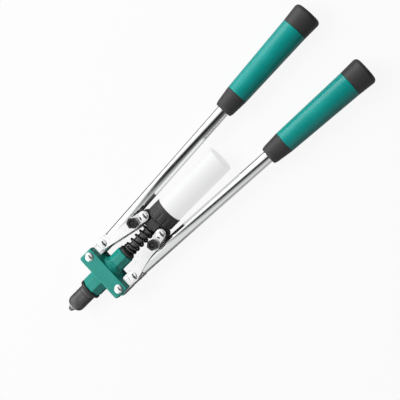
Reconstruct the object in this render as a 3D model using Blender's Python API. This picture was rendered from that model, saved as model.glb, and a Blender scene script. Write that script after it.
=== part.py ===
"""Two-handed lever riveter with a spring-loaded slide, a jaw set and a collector bottle.

The tool lies on its back. X runs along the tool from the nose to the handles, Z is up, and
the origin is under the middle of the tool at the level it rests on. Lengths are in metres.
Each arm turns on its head pin. A pair of links carries its knee bolt's pull to the slide.
"""

from math import asin, atan2, cos, hypot, pi, radians, sin, tan

import bmesh
import bpy
from mathutils import Matrix, Vector

MM = 0.001

# Fits
SEAT_GAP = 0.3 * MM          # between pieces that touch on the real tool
RUN_GAP = 0.35 * MM          # round and beside pieces that move

# Nosepiece and its housing, x measured from the nose tip
NOSE_TIP_RADIUS = 2.3 * MM
NOSE_BORE_RADIUS = 1.7 * MM
NOSE_CONE_LENGTH = 4.6 * MM
NOSE_CONE_RADIUS = 4.5 * MM
NOSE_RIM_LENGTH = 1.1 * MM
NOSE_RIM_RADIUS = 4.9 * MM
NOSE_THREAD_RADIUS = 4.5 * MM
NOSE_THREAD_LENGTH = 7.0 * MM
NOSE_TAIL_RADIUS = 2.9 * MM
NOSE_TAIL_LENGTH = 4.6 * MM
HOUSING_LENGTH = 26.1 * MM
HOUSING_RADIUS = 10.2 * MM
HOUSING_SHOULDER_LENGTH = 6.2 * MM
HOUSING_SHOULDER_RADIUS = 5.6 * MM
HOUSING_BORE_RADIUS = 7.6 * MM
HOUSING_NECK_RADIUS = 8.5 * MM
HOUSING_NECK_LENGTH = 13.0 * MM
HOUSING_HEX = 19.4 * MM
HOUSING_HEX_START = 5.0 * MM  # behind the shoulder
HOUSING_HEX_LENGTH = 9.6 * MM
LOCK_RING_LENGTH = 4.2 * MM
LOCK_RING_RADIUS = 13.1 * MM

# Head casting
BOSS_FLATS = 24.9 * MM
BOSS_LENGTH = 16.7 * MM
BOSS_POCKET_DEPTH = 9.5 * MM
CROSSBAR_DEPTH = 22.6 * MM    # along the tool
CROSSBAR_SPAN = 62.8 * MM
CROSSBAR_HEIGHT = 30.0 * MM
CROSSBAR_FRONT_EDGE = 1.6 * MM
CROSSBAR_REAR_EDGE = 3.8 * MM
CROSSBAR_END_EDGE = 1.5 * MM
CROSSBAR_FRONT_CORNER = 3.2 * MM
CROSSBAR_REAR_CORNER = 4.6 * MM
BARREL_FLATS = 20.4 * MM
BARREL_LENGTH = 18.5 * MM
BARREL_FLARE = 1.5 * MM
CASE_POCKET_DEPTH = 23.0 * MM

# Arm pivots: the head pin, and the arm drawn from it
HEAD_PIN_X = 64.3 * MM
HEAD_PIN_INSET = 6.6 * MM      # from the crossbar's end
HEAD_PIN_RADIUS = 3.5 * MM
ARM_SPREAD = 88.9 * MM        # between the closed arms' lines, where the tubes end
TUBE_OFFSET = 1.2 * MM        # tube axis inboard of the head pin
TUBE_RADIUS = 7.25 * MM
TUBE_WALL = 1.5 * MM
TUBE_START = 31.3 * MM
TONGUE_EYE_RADIUS = 6.8 * MM
TONGUE_EYE_GAP = 0.6 * MM      # to the fork's floor
TONGUE_PLUG_LENGTH = 15.0 * MM
TONGUE_EDGE = 0.9 * MM
BRACKET_RIVET_ALONG = 20.2 * MM
BRACKET_RIVET_INSET = 0.3 * MM
BRACKET_RIVET_RADIUS = 3.0 * MM
BRACKET_THICKNESS = 1.8 * MM
BRACKET_FRONT_RADIUS = 6.6 * MM
BRACKET_KNEE_RADIUS = 7.2 * MM
BRACKET_FRONT_TURN = 72        # degrees round each end, where the outer edge's curve starts
BRACKET_KNEE_TURN = 105
BRACKET_CREST_PULL = (12.8 * MM, 3.1 * MM)    # the curve's handles, from the rivet and the bolt
BRACKET_WAIST_PULL = (-15.0 * MM, 7.3 * MM)
PLATE_EDGE = 0.45 * MM
KNEE_ALONG = 63.0 * MM
KNEE_INSET = 11.5 * MM

# Knee bolts and links
BOLT_RADIUS = 2.7 * MM
HEX_FLATS = 11.0 * MM
HEX_TURN = 15                  # degrees from the arm's line to a corner
HEX_CHAMFER = 0.8 * MM
BOLT_HEAD_HEIGHT = 3.7 * MM
NUT_HEIGHT = 4.8 * MM
NUT_RECESS = 0.8 * MM
WASHER_RADIUS = 6.4 * MM
WASHER_THICKNESS = 1.0 * MM
LINK_THICKNESS = 1.8 * MM
LINK_RADIUS = 6.2 * MM
LINK_KNEE_PLAY = 1.0 * MM     # lets the straight-line slide stand in for the true curve

# Slide
SLIDE_PIN_X = 141.8 * MM
SLIDE_PIN_INSET = 5.9 * MM     # from the wing's tip
SLIDE_PIN_RADIUS = 2.5 * MM
DOME_RADIUS = 4.9 * MM
DOME_HEIGHT = 1.7 * MM
HEAD_DOME_HEIGHT = 2.2 * MM
YOKE_START = 136.8 * MM
YOKE_FLANGE_RADIUS = 9.3 * MM
YOKE_FLANGE_LENGTH = 2.4 * MM
YOKE_HUB_WIDTH = 14.4 * MM
YOKE_HUB_HEIGHT = 18.0 * MM
YOKE_HUB_EDGE = 1.6 * MM
YOKE_LENGTH = 13.5 * MM
YOKE_SHOULDER_RADIUS = 15.4 * MM
YOKE_SHOULDER_LENGTH = 4.4 * MM
WING_GAP = 0.77 * MM          # to the closed arms' tubes
WING_THICKNESS = 10.0 * MM
WING_CORNER = 4.5 * MM
WING_EDGE = 1.0 * MM
WING_BOSS_RADIUS = 5.6 * MM
YOKE_NECK_RADIUS = 11.4 * MM
YOKE_NECK_LENGTH = 6.5 * MM
PULL_TUBE_START = 46.3 * MM
PULL_TUBE_END = 157.5 * MM
PULL_TUBE_RADIUS = 5.2 * MM
PULL_TUBE_BORE = 3.2 * MM

# Recoil spring and its seat
SEAT_LENGTH = 4.4 * MM
SEAT_RADIUS = 9.7 * MM
SEAT_NOSE_RADIUS = 7.6 * MM
SPRING_RADIUS = 8.4 * MM
SPRING_WIRE = 2.8 * MM
SPRING_PITCH = 7.2 * MM

# Jaw set
CASE_START = 20.0 * MM
CASE_LENGTH = 34.0 * MM
CASE_RADIUS = 7.2 * MM
CASE_MOUTH_RADIUS = 3.5 * MM
CASE_BORE_RADIUS = 5.8 * MM
CASE_CONE_LENGTH = 13.0 * MM
JAW_LENGTH = 11.0 * MM
JAW_SETBACK = 1.4 * MM
JAW_BORE_RADIUS = 1.4 * MM
JAW_SPLIT = 0.8 * MM
PUSHER_HEAD_RADIUS = 5.3 * MM
PUSHER_HEAD_LENGTH = 2.2 * MM
PUSHER_STEM_RADIUS = 3.4 * MM
PUSHER_STEM_LENGTH = 6.6 * MM
PUSHER_BORE_RADIUS = 2.1 * MM
PUSHER_SPRING_RADIUS = 4.9 * MM
PUSHER_SPRING_WIRE = 0.8 * MM
PUSHER_SPRING_PITCH = 1.9 * MM

# Collector
CAP_RADIUS = 17.1 * MM
CAP_LENGTH = 15.2 * MM
CAP_FLUTE_LENGTH = 9.0 * MM
CAP_FLUTE_DEPTH = 0.8 * MM
CAP_FLUTES = 12
CAP_FRONT_WALL = 3.0 * MM
CAP_EDGE = 0.7 * MM
BOTTLE_RADIUS = 16.5 * MM
BOTTLE_LENGTH = 84.0 * MM     # from the cap's rim to the bottle's end
BOTTLE_WALL = 1.2 * MM
BOTTLE_END_ROUND = 3.2 * MM
BOTTLE_SHOULDER_ROUND = 1.4 * MM
BOTTLE_NECK_RADIUS = 13.8 * MM
BOTTLE_NECK_LENGTH = 11.0 * MM
BOTTLE_NECK_WALL = 1.4 * MM

# Grips, measured along the arm from the head pin
GRIP_START = 224.3 * MM
GRIP_SLEEVE_START = 247.8 * MM
GRIP_SLEEVE_END = 342.3 * MM
GRIP_END = 365.8 * MM
GRIP_END_SOLID = 13.5 * MM     # past the tube
GRIP_LIP_RADIUS = 10.6 * MM
GRIP_COLLAR_RADIUS = 11.4 * MM
GRIP_SLEEVE_START_RADIUS = 13.2 * MM
GRIP_SLEEVE_END_RADIUS = 15.6 * MM
GRIP_CAP_RADIUS = 16.7 * MM
GRIP_END_ROUND = 4.6 * MM
GRIP_LIP_ROUND = 1.2 * MM

# Fineness of round pieces
FINE = 24
ROUND = 16
SMALL = 12

# Places that follow from the sizes above
NOSE_SEAT = NOSE_CONE_LENGTH + NOSE_RIM_LENGTH
HOUSING_START = NOSE_SEAT + SEAT_GAP
HOUSING_END = HOUSING_START + HOUSING_LENGTH
LOCK_RING_START = HOUSING_END + SEAT_GAP
LOCK_RING_END = LOCK_RING_START + LOCK_RING_LENGTH
BOSS_START = LOCK_RING_END + SEAT_GAP
CROSSBAR_START = BOSS_START + BOSS_LENGTH
CROSSBAR_END = CROSSBAR_START + CROSSBAR_DEPTH
BARREL_END = CROSSBAR_END + BARREL_LENGTH
SEAT_START = BARREL_END + SEAT_GAP
SPRING_START = SEAT_START + SEAT_LENGTH + SEAT_GAP
SPRING_END = YOKE_START - SEAT_GAP
YOKE_END = YOKE_START + YOKE_LENGTH
CAP_START = YOKE_END + SEAT_GAP
CAP_END = CAP_START + CAP_LENGTH
CAP_SOCKET_RADIUS = BOTTLE_NECK_RADIUS + RUN_GAP
BOTTLE_START = CAP_END + SEAT_GAP
HEAD_PIN_Y = CROSSBAR_SPAN / 2 - HEAD_PIN_INSET
FORK_FLOOR = HEAD_PIN_Y - TONGUE_EYE_RADIUS - TONGUE_EYE_GAP
TUBE_END = GRIP_END - GRIP_END_SOLID - SEAT_GAP
ARM_LEAN = asin((ARM_SPREAD / 2 - HEAD_PIN_Y) / TUBE_END)
TUBE_INNER_FACE = HEAD_PIN_Y - (TUBE_OFFSET + TUBE_RADIUS) / cos(ARM_LEAN)
WING_TIP = TUBE_INNER_FACE + (SLIDE_PIN_X - HEAD_PIN_X) * tan(ARM_LEAN) - WING_GAP
SLIDE_PIN_Y = WING_TIP - SLIDE_PIN_INSET
PIVOT_HOLE_RADIUS = HEAD_PIN_RADIUS + RUN_GAP
PULL_BORE_RADIUS = PULL_TUBE_RADIUS + RUN_GAP
FORK_HALF = TUBE_RADIUS + RUN_GAP
BRACKET_FACE = TUBE_RADIUS + SEAT_GAP          # the plates' inner faces, from mid-height
LINK_FACE = BRACKET_FACE + BRACKET_THICKNESS + SEAT_GAP
LINK_OUTER_FACE = LINK_FACE + LINK_THICKNESS
HEAD_SEAT = LINK_OUTER_FACE + SEAT_GAP
WING_BOSS_HALF = LINK_FACE - SEAT_GAP
REST_HEIGHT = CROSSBAR_HEIGHT / 2 + SEAT_GAP + HEAD_DOME_HEIGHT
GRIP_FRONTMOST = (
    HEAD_PIN_X
    + (GRIP_END - GRIP_END_ROUND) * cos(ARM_LEAN)
    + (GRIP_CAP_RADIUS - GRIP_END_ROUND + TUBE_OFFSET) * sin(ARM_LEAN)
    + GRIP_END_ROUND
)
TOOL_MIDDLE = GRIP_FRONTMOST / 2

COLOURS = {
    "green_paint": ((0.05, 0.36, 0.31), 0.35, 0.0),
    "teal_rubber": ((0.02, 0.40, 0.35), 0.55, 0.0),
    "black_plastic": ((0.03, 0.03, 0.032), 0.5, 0.0),
    "black_steel": ((0.04, 0.04, 0.042), 0.4, 0.7),
    "dark_steel": ((0.10, 0.10, 0.105), 0.4, 0.8),
    "chrome": ((0.80, 0.80, 0.82), 0.12, 1.0),
    "tool_steel": ((0.45, 0.45, 0.46), 0.35, 1.0),
    "milky_plastic": ((0.88, 0.89, 0.90), 0.4, 0.0),
}


def clear_scene():
    for item in list(bpy.data.objects):
        bpy.data.objects.remove(item, do_unlink=True)


def material(name):
    found = bpy.data.materials.get(name)
    if found:
        return found
    colour, roughness, metallic = COLOURS[name]
    made = bpy.data.materials.new(name)
    made.use_nodes = True
    shader = made.node_tree.nodes["Principled BSDF"]
    shader.inputs["Base Color"].default_value = (*colour, 1.0)
    shader.inputs["Roughness"].default_value = roughness
    shader.inputs["Metallic"].default_value = metallic
    made.diffuse_color = (*colour, 1.0)
    return made


def empty(name, place, parent=None, turn=0.0):
    made = bpy.data.objects.new(name, None)
    bpy.context.collection.objects.link(made)
    made.parent = parent
    made.location = place
    made.rotation_euler = (0.0, 0.0, turn)
    made.empty_display_size = 10 * MM
    return made


def add(name, data, finish, parent, place=(0.0, 0.0, 0.0)):
    """Link a mesh or curve as a named piece under its carrier."""
    made = bpy.data.objects.new(name, data)
    bpy.context.collection.objects.link(made)
    data.materials.clear()
    data.materials.append(material(finish))
    made.parent = parent
    made.location = place
    return made


def to_mesh(bm, name, crease=35.0):
    bmesh.ops.remove_doubles(bm, verts=bm.verts, dist=1e-7)
    bmesh.ops.recalc_face_normals(bm, faces=bm.faces)
    mesh = bpy.data.meshes.new(name)
    bm.to_mesh(mesh)
    bm.free()
    mesh.shade_smooth()
    mesh.set_sharp_from_angle(angle=radians(crease))
    return mesh


def cutter(mesh, parent, place=(0.0, 0.0, 0.0)):
    """A shape that only cuts or joins: never part of the tool itself."""
    made = bpy.data.objects.new("shape_" + mesh.name, mesh)
    bpy.context.collection.objects.link(made)
    made.parent = parent
    made.location = place
    made.hide_render = True
    made.display_type = "WIRE"
    return made


def combine(piece, operation, shapes):
    for shape in shapes:
        step = piece.modifiers.new(operation.lower() + "_" + shape.name, "BOOLEAN")
        step.operation = operation
        step.solver = "EXACT"
        step.object = shape


def arc(centre, radius, start, end, count):
    """Points on an arc from one angle to another, in degrees."""
    angles = [radians(start + (end - start) * k / count) for k in range(count + 1)]
    return [(centre[0] + radius * cos(a), centre[1] + radius * sin(a)) for a in angles]


def rounded(corners, count=3):
    """A closed outline with each corner (x, y, radius) rounded."""
    outline = []
    for k, (x, y, radius) in enumerate(corners):
        here = Vector((x, y))
        before = (Vector(corners[k - 1][:2]) - here).normalized()
        after = (Vector(corners[(k + 1) % len(corners)][:2]) - here).normalized()
        if radius <= 0.0:
            outline.append((x, y))
            continue
        half = before.angle(after) / 2
        centre = here + (before + after).normalized() * (radius / sin(half))
        first = here + before * (radius / tan(half)) - centre
        last = here + after * (radius / tan(half)) - centre
        turn = first.angle_signed(last)
        for step in range(count + 1):
            outline.append(tuple(centre + Matrix.Rotation(-turn * step / count, 2) @ first))
    return outline


def box_outline(width, height, radius):
    x, y = width / 2, height / 2
    return rounded([(x, y, radius), (-x, y, radius), (-x, -y, radius), (x, -y, radius)])


def revolve(name, outline, sides, axis="X", phase=0.0, crease=35.0):
    """Turn an outline of (height, radius) about an axis; it closes at the axis or on itself."""
    bm = bmesh.new()
    if axis == "X":
        verts = [bm.verts.new((h, 0.0, r)) for h, r in outline]
        spin_axis = Vector((1, 0, 0))
    else:
        verts = [bm.verts.new((r, 0.0, h)) for h, r in outline]
        spin_axis = Vector((0, 0, 1))
    edges = [bm.edges.new(pair) for pair in zip(verts, verts[1:])]
    if outline[0][1] > 0.0:
        edges.append(bm.edges.new((verts[-1], verts[0])))
    geometry = verts + edges
    bmesh.ops.rotate(bm, verts=verts, cent=(0, 0, 0), matrix=Matrix.Rotation(phase, 3, spin_axis))
    bmesh.ops.spin(
        bm, geom=geometry, cent=(0, 0, 0), axis=spin_axis, angle=2 * pi, steps=sides, use_merge=True
    )
    return to_mesh(bm, name, crease)


def slab(name, outline, low, high, edge=0.0, edge_low=0.0, axis="Z"):
    """Extrude an outline between two levels, with its upper and lower rims bevelled."""
    bm = bmesh.new()
    base = bm.faces.new([bm.verts.new((x, y, low)) for x, y in outline])
    raised = bmesh.ops.extrude_face_region(bm, geom=[base])["geom"]
    top = [item for item in raised if isinstance(item, bmesh.types.BMVert)]
    bmesh.ops.translate(bm, verts=top, vec=(0.0, 0.0, high - low))
    bmesh.ops.recalc_face_normals(bm, faces=bm.faces)
    for level, size in ((high, edge), (low, edge_low)):
        if size > 0.0:
            rim = [e for e in bm.edges if all(abs(v.co.z - level) < 1e-9 for v in e.verts)]
            bmesh.ops.bevel(bm, geom=rim, offset=size, segments=2, profile=0.6, affect="EDGES")
    if axis == "Y":
        bmesh.ops.rotate(bm, verts=bm.verts, matrix=Matrix.Rotation(pi / 2, 3, "X"))
    elif axis == "X":
        bmesh.ops.rotate(bm, verts=bm.verts, matrix=Matrix(((0, 0, 1), (1, 0, 0), (0, 1, 0))))
    return to_mesh(bm, name)


def rod(name, radius, low, high, sides=ROUND, axis="Z"):
    return revolve(name, [(low, 0.0), (low, radius), (high, radius), (high, 0.0)], sides, axis)


def rounded_prism(start, end, flats, edge):
    """Outline for a turned shape with flats: a radius at the corners and broken ends."""
    corner = flats / 2
    return [(start, 0.0), (start, corner - edge), (start + edge, corner), (end - edge, corner),
            (end, corner - edge), (end, 0.0)]


def many_sided(name, outline, sides):
    """Turn an outline with few sides, so that its radii are across the flats."""
    grown = [(x, r / cos(pi / sides)) for x, r in outline]
    return revolve(name, grown, sides, "X", pi / sides, crease=20.0)


def dome(seat, height, radius, rim=0.5 * MM, count=3):
    """Half outline of a domed head on its seat, from its edge to the axis."""
    rise = height - rim
    ball = (radius ** 2 + rise ** 2) / (2 * rise)
    spread = asin(radius / ball)
    points = [(seat, radius)]
    for k in range(count + 1):
        angle = spread * (1 - k / count)
        points.append((seat + rim + rise - ball * (1 - cos(angle)), ball * sin(angle)))
    points[-1] = (seat + height, 0.0)
    return points


def headed_pin(name, shank, seat, head_height):
    """A pin along Z with a domed head on each end."""
    upper = [(seat, shank)] + dome(seat, head_height, DOME_RADIUS)
    lower = [(-h, r) for h, r in reversed(upper)]
    return revolve(name, lower + upper, ROUND, "Z")


def hexagon(name, low, high, turn, bore, chamfer):
    """A chamfered six-sided head or nut along Z, bored or solid."""
    outer = HEX_FLATS / 2 / cos(pi / 6)
    bm = bmesh.new()
    levels = [(low, outer), (high - chamfer * 0.6, outer), (high, outer - chamfer)]
    corners = [turn + k * pi / 3 for k in range(6)]
    rings = [[bm.verts.new((r * cos(a), r * sin(a), z)) for a in corners] for z, r in levels]
    for below, above in zip(rings, rings[1:]):
        for k in range(6):
            n = (k + 1) % 6
            bm.faces.new((below[k], below[n], above[n], above[k]))
    bm.faces.new(list(reversed(rings[0])))
    bm.faces.new(rings[-1])
    mesh = to_mesh(bm, name, 20.0)
    if not bore:
        return mesh, None
    return mesh, rod(name + "_bore", bore, low - MM, high + MM, SMALL)


def spring(name, parent, radius, wire, start, end, pitch, finish, steps=12):
    """A compression spring about X with a closed turn at each end."""
    closed = wire * 1.1
    low = start + wire / 2
    high = end - wire / 2
    free_turns = max(1, round((high - low - 2 * closed) / pitch))
    free_pitch = (high - low - 2 * closed) / free_turns
    turns = free_turns + 2
    line = bpy.data.curves.new(name, "CURVE")
    line.dimensions = "3D"
    spline = line.splines.new("POLY")
    count = turns * steps
    spline.points.add(count)
    for k in range(count + 1):
        turn = k / steps
        x = low + closed * min(turn, 1.0) + free_pitch * min(max(turn - 1.0, 0.0), free_turns)
        x += closed * max(turn - 1.0 - free_turns, 0.0)
        angle = 2 * pi * turn
        reach = radius - wire / 2
        spline.points[k].co = (x, reach * cos(angle), reach * sin(angle), 1.0)
    line.bevel_depth = wire / 2
    line.bevel_resolution = 1
    line.use_fill_caps = True
    return add(name, line, finish, parent)


def make_nose(head):
    tail_start = NOSE_SEAT + NOSE_THREAD_LENGTH
    tail_end = tail_start + NOSE_TAIL_LENGTH
    outline = [
        (0.0, NOSE_BORE_RADIUS), (0.0, NOSE_TIP_RADIUS), (NOSE_CONE_LENGTH, NOSE_CONE_RADIUS),
        (NOSE_CONE_LENGTH, NOSE_RIM_RADIUS), (NOSE_SEAT, NOSE_RIM_RADIUS),
        (NOSE_SEAT, NOSE_THREAD_RADIUS), (tail_start, NOSE_THREAD_RADIUS),
        (tail_start + MM, NOSE_TAIL_RADIUS), (tail_end - MM, NOSE_TAIL_RADIUS),
        (tail_end, NOSE_TAIL_RADIUS - 0.8 * MM), (tail_end, NOSE_BORE_RADIUS),
    ]
    add("nosepiece", revolve("nosepiece", outline, ROUND), "dark_steel", head)

    shoulder = HOUSING_RADIUS - HOUSING_SHOULDER_RADIUS
    curve = [
        (HOUSING_START + HOUSING_SHOULDER_LENGTH * (1 - cos(a)),
         HOUSING_SHOULDER_RADIUS + shoulder * sin(a))
        for a in (radians(90 * k / 5) for k in range(6))
    ]
    neck_end = HOUSING_END + HOUSING_NECK_LENGTH
    hole = NOSE_THREAD_RADIUS + SEAT_GAP
    hole_end = NOSE_SEAT + NOSE_THREAD_LENGTH + SEAT_GAP
    outline = [(HOUSING_START, hole)] + curve + [
        (HOUSING_END - 0.5 * MM, HOUSING_RADIUS), (HOUSING_END, HOUSING_RADIUS - 0.5 * MM),
        (HOUSING_END, HOUSING_NECK_RADIUS), (neck_end, HOUSING_NECK_RADIUS),
        (neck_end, HOUSING_BORE_RADIUS), (hole_end + MM, HOUSING_BORE_RADIUS), (hole_end, hole),
    ]
    housing = add("nose_housing", revolve("nose_housing", outline, FINE), "dark_steel", head)
    hex_start = HOUSING_START + HOUSING_SHOULDER_LENGTH + HOUSING_HEX_START
    hex_end = hex_start + HOUSING_HEX_LENGTH
    flats = []
    for k in range(6):
        outward = LOCK_RING_RADIUS
        plan = [(hex_start, HOUSING_HEX / 2), (hex_end, HOUSING_HEX / 2), (hex_end, outward),
                (hex_start, outward)]
        block = slab("wrench_flat_%d" % k, plan, -HOUSING_RADIUS, HOUSING_RADIUS)
        flat = cutter(block, head)
        flat.rotation_euler = ((k + 0.5) * pi / 3, 0.0, 0.0)
        flats.append(flat)
    combine(housing, "DIFFERENCE", flats)

    bore = HOUSING_NECK_RADIUS + SEAT_GAP
    edge = 0.8 * MM
    outline = [
        (LOCK_RING_START, bore), (LOCK_RING_START, LOCK_RING_RADIUS - 2 * edge),
        (LOCK_RING_START + 1.5 * edge, LOCK_RING_RADIUS), (LOCK_RING_END - edge, LOCK_RING_RADIUS),
        (LOCK_RING_END, LOCK_RING_RADIUS - edge), (LOCK_RING_END, bore),
    ]
    add("lock_ring", revolve("lock_ring", outline, FINE), "black_steel", head)


def make_head(head):
    """The casting: boss, forked crossbar and barrel, joined and then bored."""
    middle = (CROSSBAR_START + CROSSBAR_END) / 2
    half_height = CROSSBAR_HEIGHT / 2
    half_span = CROSSBAR_SPAN / 2
    beyond = 5 * MM
    plan = rounded([
        (CROSSBAR_START, half_span, CROSSBAR_FRONT_CORNER),
        (CROSSBAR_START, -half_span, CROSSBAR_FRONT_CORNER),
        (CROSSBAR_END, -half_span, CROSSBAR_REAR_CORNER),
        (CROSSBAR_END, half_span, CROSSBAR_REAR_CORNER),
    ])
    block = slab("head_casting", plan, -half_height, half_height)
    casting = add("head_casting", block, "green_paint", head)
    side = rounded([
        (CROSSBAR_START, half_height, CROSSBAR_FRONT_EDGE),
        (CROSSBAR_START, -half_height, CROSSBAR_FRONT_EDGE),
        (CROSSBAR_END, -half_height, CROSSBAR_REAR_EDGE),
        (CROSSBAR_END, half_height, CROSSBAR_REAR_EDGE),
    ])
    side_shape = slab("crossbar_side", side, -half_span - beyond, half_span + beyond, axis="Y")
    end_view = box_outline(CROSSBAR_SPAN, CROSSBAR_HEIGHT, CROSSBAR_END_EDGE)
    end_shape = slab("crossbar_end", end_view, CROSSBAR_START - beyond, CROSSBAR_END + beyond,
                     axis="X")
    combine(casting, "INTERSECT", [cutter(side_shape, head), cutter(end_shape, head)])

    boss = many_sided(
        "boss", rounded_prism(BOSS_START, middle + MM, BOSS_FLATS, 1.2 * MM), 8)
    radius = BARREL_FLATS / 2
    flare_end = CROSSBAR_END + 2.2 * BARREL_FLARE
    barrel_outline = [
        (middle - MM, 0.0), (middle - MM, radius + BARREL_FLARE),
        (CROSSBAR_END + 0.4 * BARREL_FLARE, radius + BARREL_FLARE),
        (CROSSBAR_END + BARREL_FLARE, radius + 0.4 * BARREL_FLARE), (flare_end, radius),
        (BARREL_END - 0.9 * MM, radius), (BARREL_END, radius - 0.9 * MM), (BARREL_END, 0.0),
    ]
    barrel = many_sided("barrel", barrel_outline, 8)
    combine(casting, "UNION", [cutter(boss, head), cutter(barrel, head)])

    pocket = HOUSING_NECK_RADIUS + SEAT_GAP
    pocket_end = BOSS_START + BOSS_POCKET_DEPTH
    case_end = BOSS_START + CASE_POCKET_DEPTH
    bore_outline = [
        (BOSS_START - beyond, 0.0), (BOSS_START - beyond, pocket), (pocket_end, pocket),
        (pocket_end, HOUSING_BORE_RADIUS), (case_end, HOUSING_BORE_RADIUS),
        (case_end, PULL_BORE_RADIUS), (BARREL_END + beyond, PULL_BORE_RADIUS),
        (BARREL_END + beyond, 0.0),
    ]
    cuts = [cutter(revolve("head_bore", bore_outline, ROUND), head)]
    for side_name, turn in (("left", 1), ("right", -1)):
        near, far = turn * FORK_FLOOR, turn * (half_span + beyond)
        front = CROSSBAR_START - SEAT_GAP
        fork = [(front, near), (CROSSBAR_END + beyond, near),
                (CROSSBAR_END + beyond, far), (front, far)]
        cuts.append(cutter(slab("fork_" + side_name, fork, -FORK_HALF, FORK_HALF), head))
        hole = rod("pin_hole_" + side_name, HEAD_PIN_RADIUS + SEAT_GAP, -half_height - beyond,
                   half_height + beyond)
        cuts.append(cutter(hole, head, (HEAD_PIN_X, turn * HEAD_PIN_Y, 0.0)))
        pin = headed_pin(side_name + "_head_pin", HEAD_PIN_RADIUS, half_height + SEAT_GAP,
                         HEAD_DOME_HEIGHT)
        add(side_name + "_head_pin", pin, "chrome", head, (HEAD_PIN_X, turn * HEAD_PIN_Y, 0.0))
    combine(casting, "DIFFERENCE", cuts)

    seat_end = SEAT_START + SEAT_LENGTH
    outline = [
        (SEAT_START, PULL_BORE_RADIUS), (SEAT_START, SEAT_RADIUS - 0.5 * MM),
        (SEAT_START + 0.5 * MM, SEAT_RADIUS), (SEAT_START + 0.55 * SEAT_LENGTH, SEAT_RADIUS),
        (seat_end, SEAT_NOSE_RADIUS), (seat_end, PULL_BORE_RADIUS),
    ]
    add("spring_seat", revolve("spring_seat", outline, ROUND), "black_steel", head)
    spring("recoil_spring", head, SPRING_RADIUS, SPRING_WIRE, SPRING_START, SPRING_END,
           SPRING_PITCH, "black_steel")


def make_jaws(slide, jaws):
    case_end = CASE_START + CASE_LENGTH
    cone_end = CASE_START + CASE_CONE_LENGTH
    thread = PULL_TUBE_RADIUS + SEAT_GAP
    outline = [
        (CASE_START, CASE_MOUTH_RADIUS), (CASE_START, CASE_RADIUS - 0.8 * MM),
        (CASE_START + 0.8 * MM, CASE_RADIUS), (case_end, CASE_RADIUS), (case_end, thread),
        (PULL_TUBE_START, thread), (PULL_TUBE_START, CASE_BORE_RADIUS),
        (cone_end, CASE_BORE_RADIUS),
    ]
    add("jaw_case", revolve("jaw_case", outline, ROUND), "tool_steel", slide)

    slope = (CASE_BORE_RADIUS - CASE_MOUTH_RADIUS) / CASE_CONE_LENGTH
    gap = RUN_GAP / cos(atan2(slope, 1.0))
    jaw_start = CASE_START + JAW_SETBACK
    jaw_end = jaw_start + JAW_LENGTH
    front = CASE_MOUTH_RADIUS + slope * (jaw_start - CASE_START) - gap
    back = CASE_MOUTH_RADIUS + slope * (jaw_end - CASE_START) - gap
    outline = [(jaw_start, JAW_BORE_RADIUS), (jaw_start, front), (jaw_end, back),
               (jaw_end, JAW_BORE_RADIUS)]
    for name, low, high in (("upper_jaw", -CASE_RADIUS, JAW_SPLIT / 2),
                            ("lower_jaw", -JAW_SPLIT / 2, CASE_RADIUS)):
        jaw = add(name, revolve(name, outline, ROUND), "tool_steel", jaws)
        away = box_outline(2 * CASE_LENGTH, 4 * CASE_RADIUS, 0.0)
        other_half = slab(name + "_split", away, low, high)
        combine(jaw, "DIFFERENCE", [cutter(other_half, jaws, (jaw_start, 0.0, 0.0))])

    head_start = jaw_end + SEAT_GAP
    head_end = head_start + PUSHER_HEAD_LENGTH
    stem_end = head_end + PUSHER_STEM_LENGTH
    outline = [
        (head_start, PUSHER_BORE_RADIUS), (head_start, PUSHER_HEAD_RADIUS - 0.6 * MM),
        (head_start + 0.6 * MM, PUSHER_HEAD_RADIUS), (head_end, PUSHER_HEAD_RADIUS),
        (head_end, PUSHER_STEM_RADIUS), (stem_end, PUSHER_STEM_RADIUS),
        (stem_end, PUSHER_BORE_RADIUS),
    ]
    add("jaw_pusher", revolve("jaw_pusher", outline, ROUND), "tool_steel", jaws)
    spring("pusher_spring", slide, PUSHER_SPRING_RADIUS, PUSHER_SPRING_WIRE,
           head_end + SEAT_GAP, PULL_TUBE_START - SEAT_GAP, PUSHER_SPRING_PITCH, "tool_steel", 10)


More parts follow.
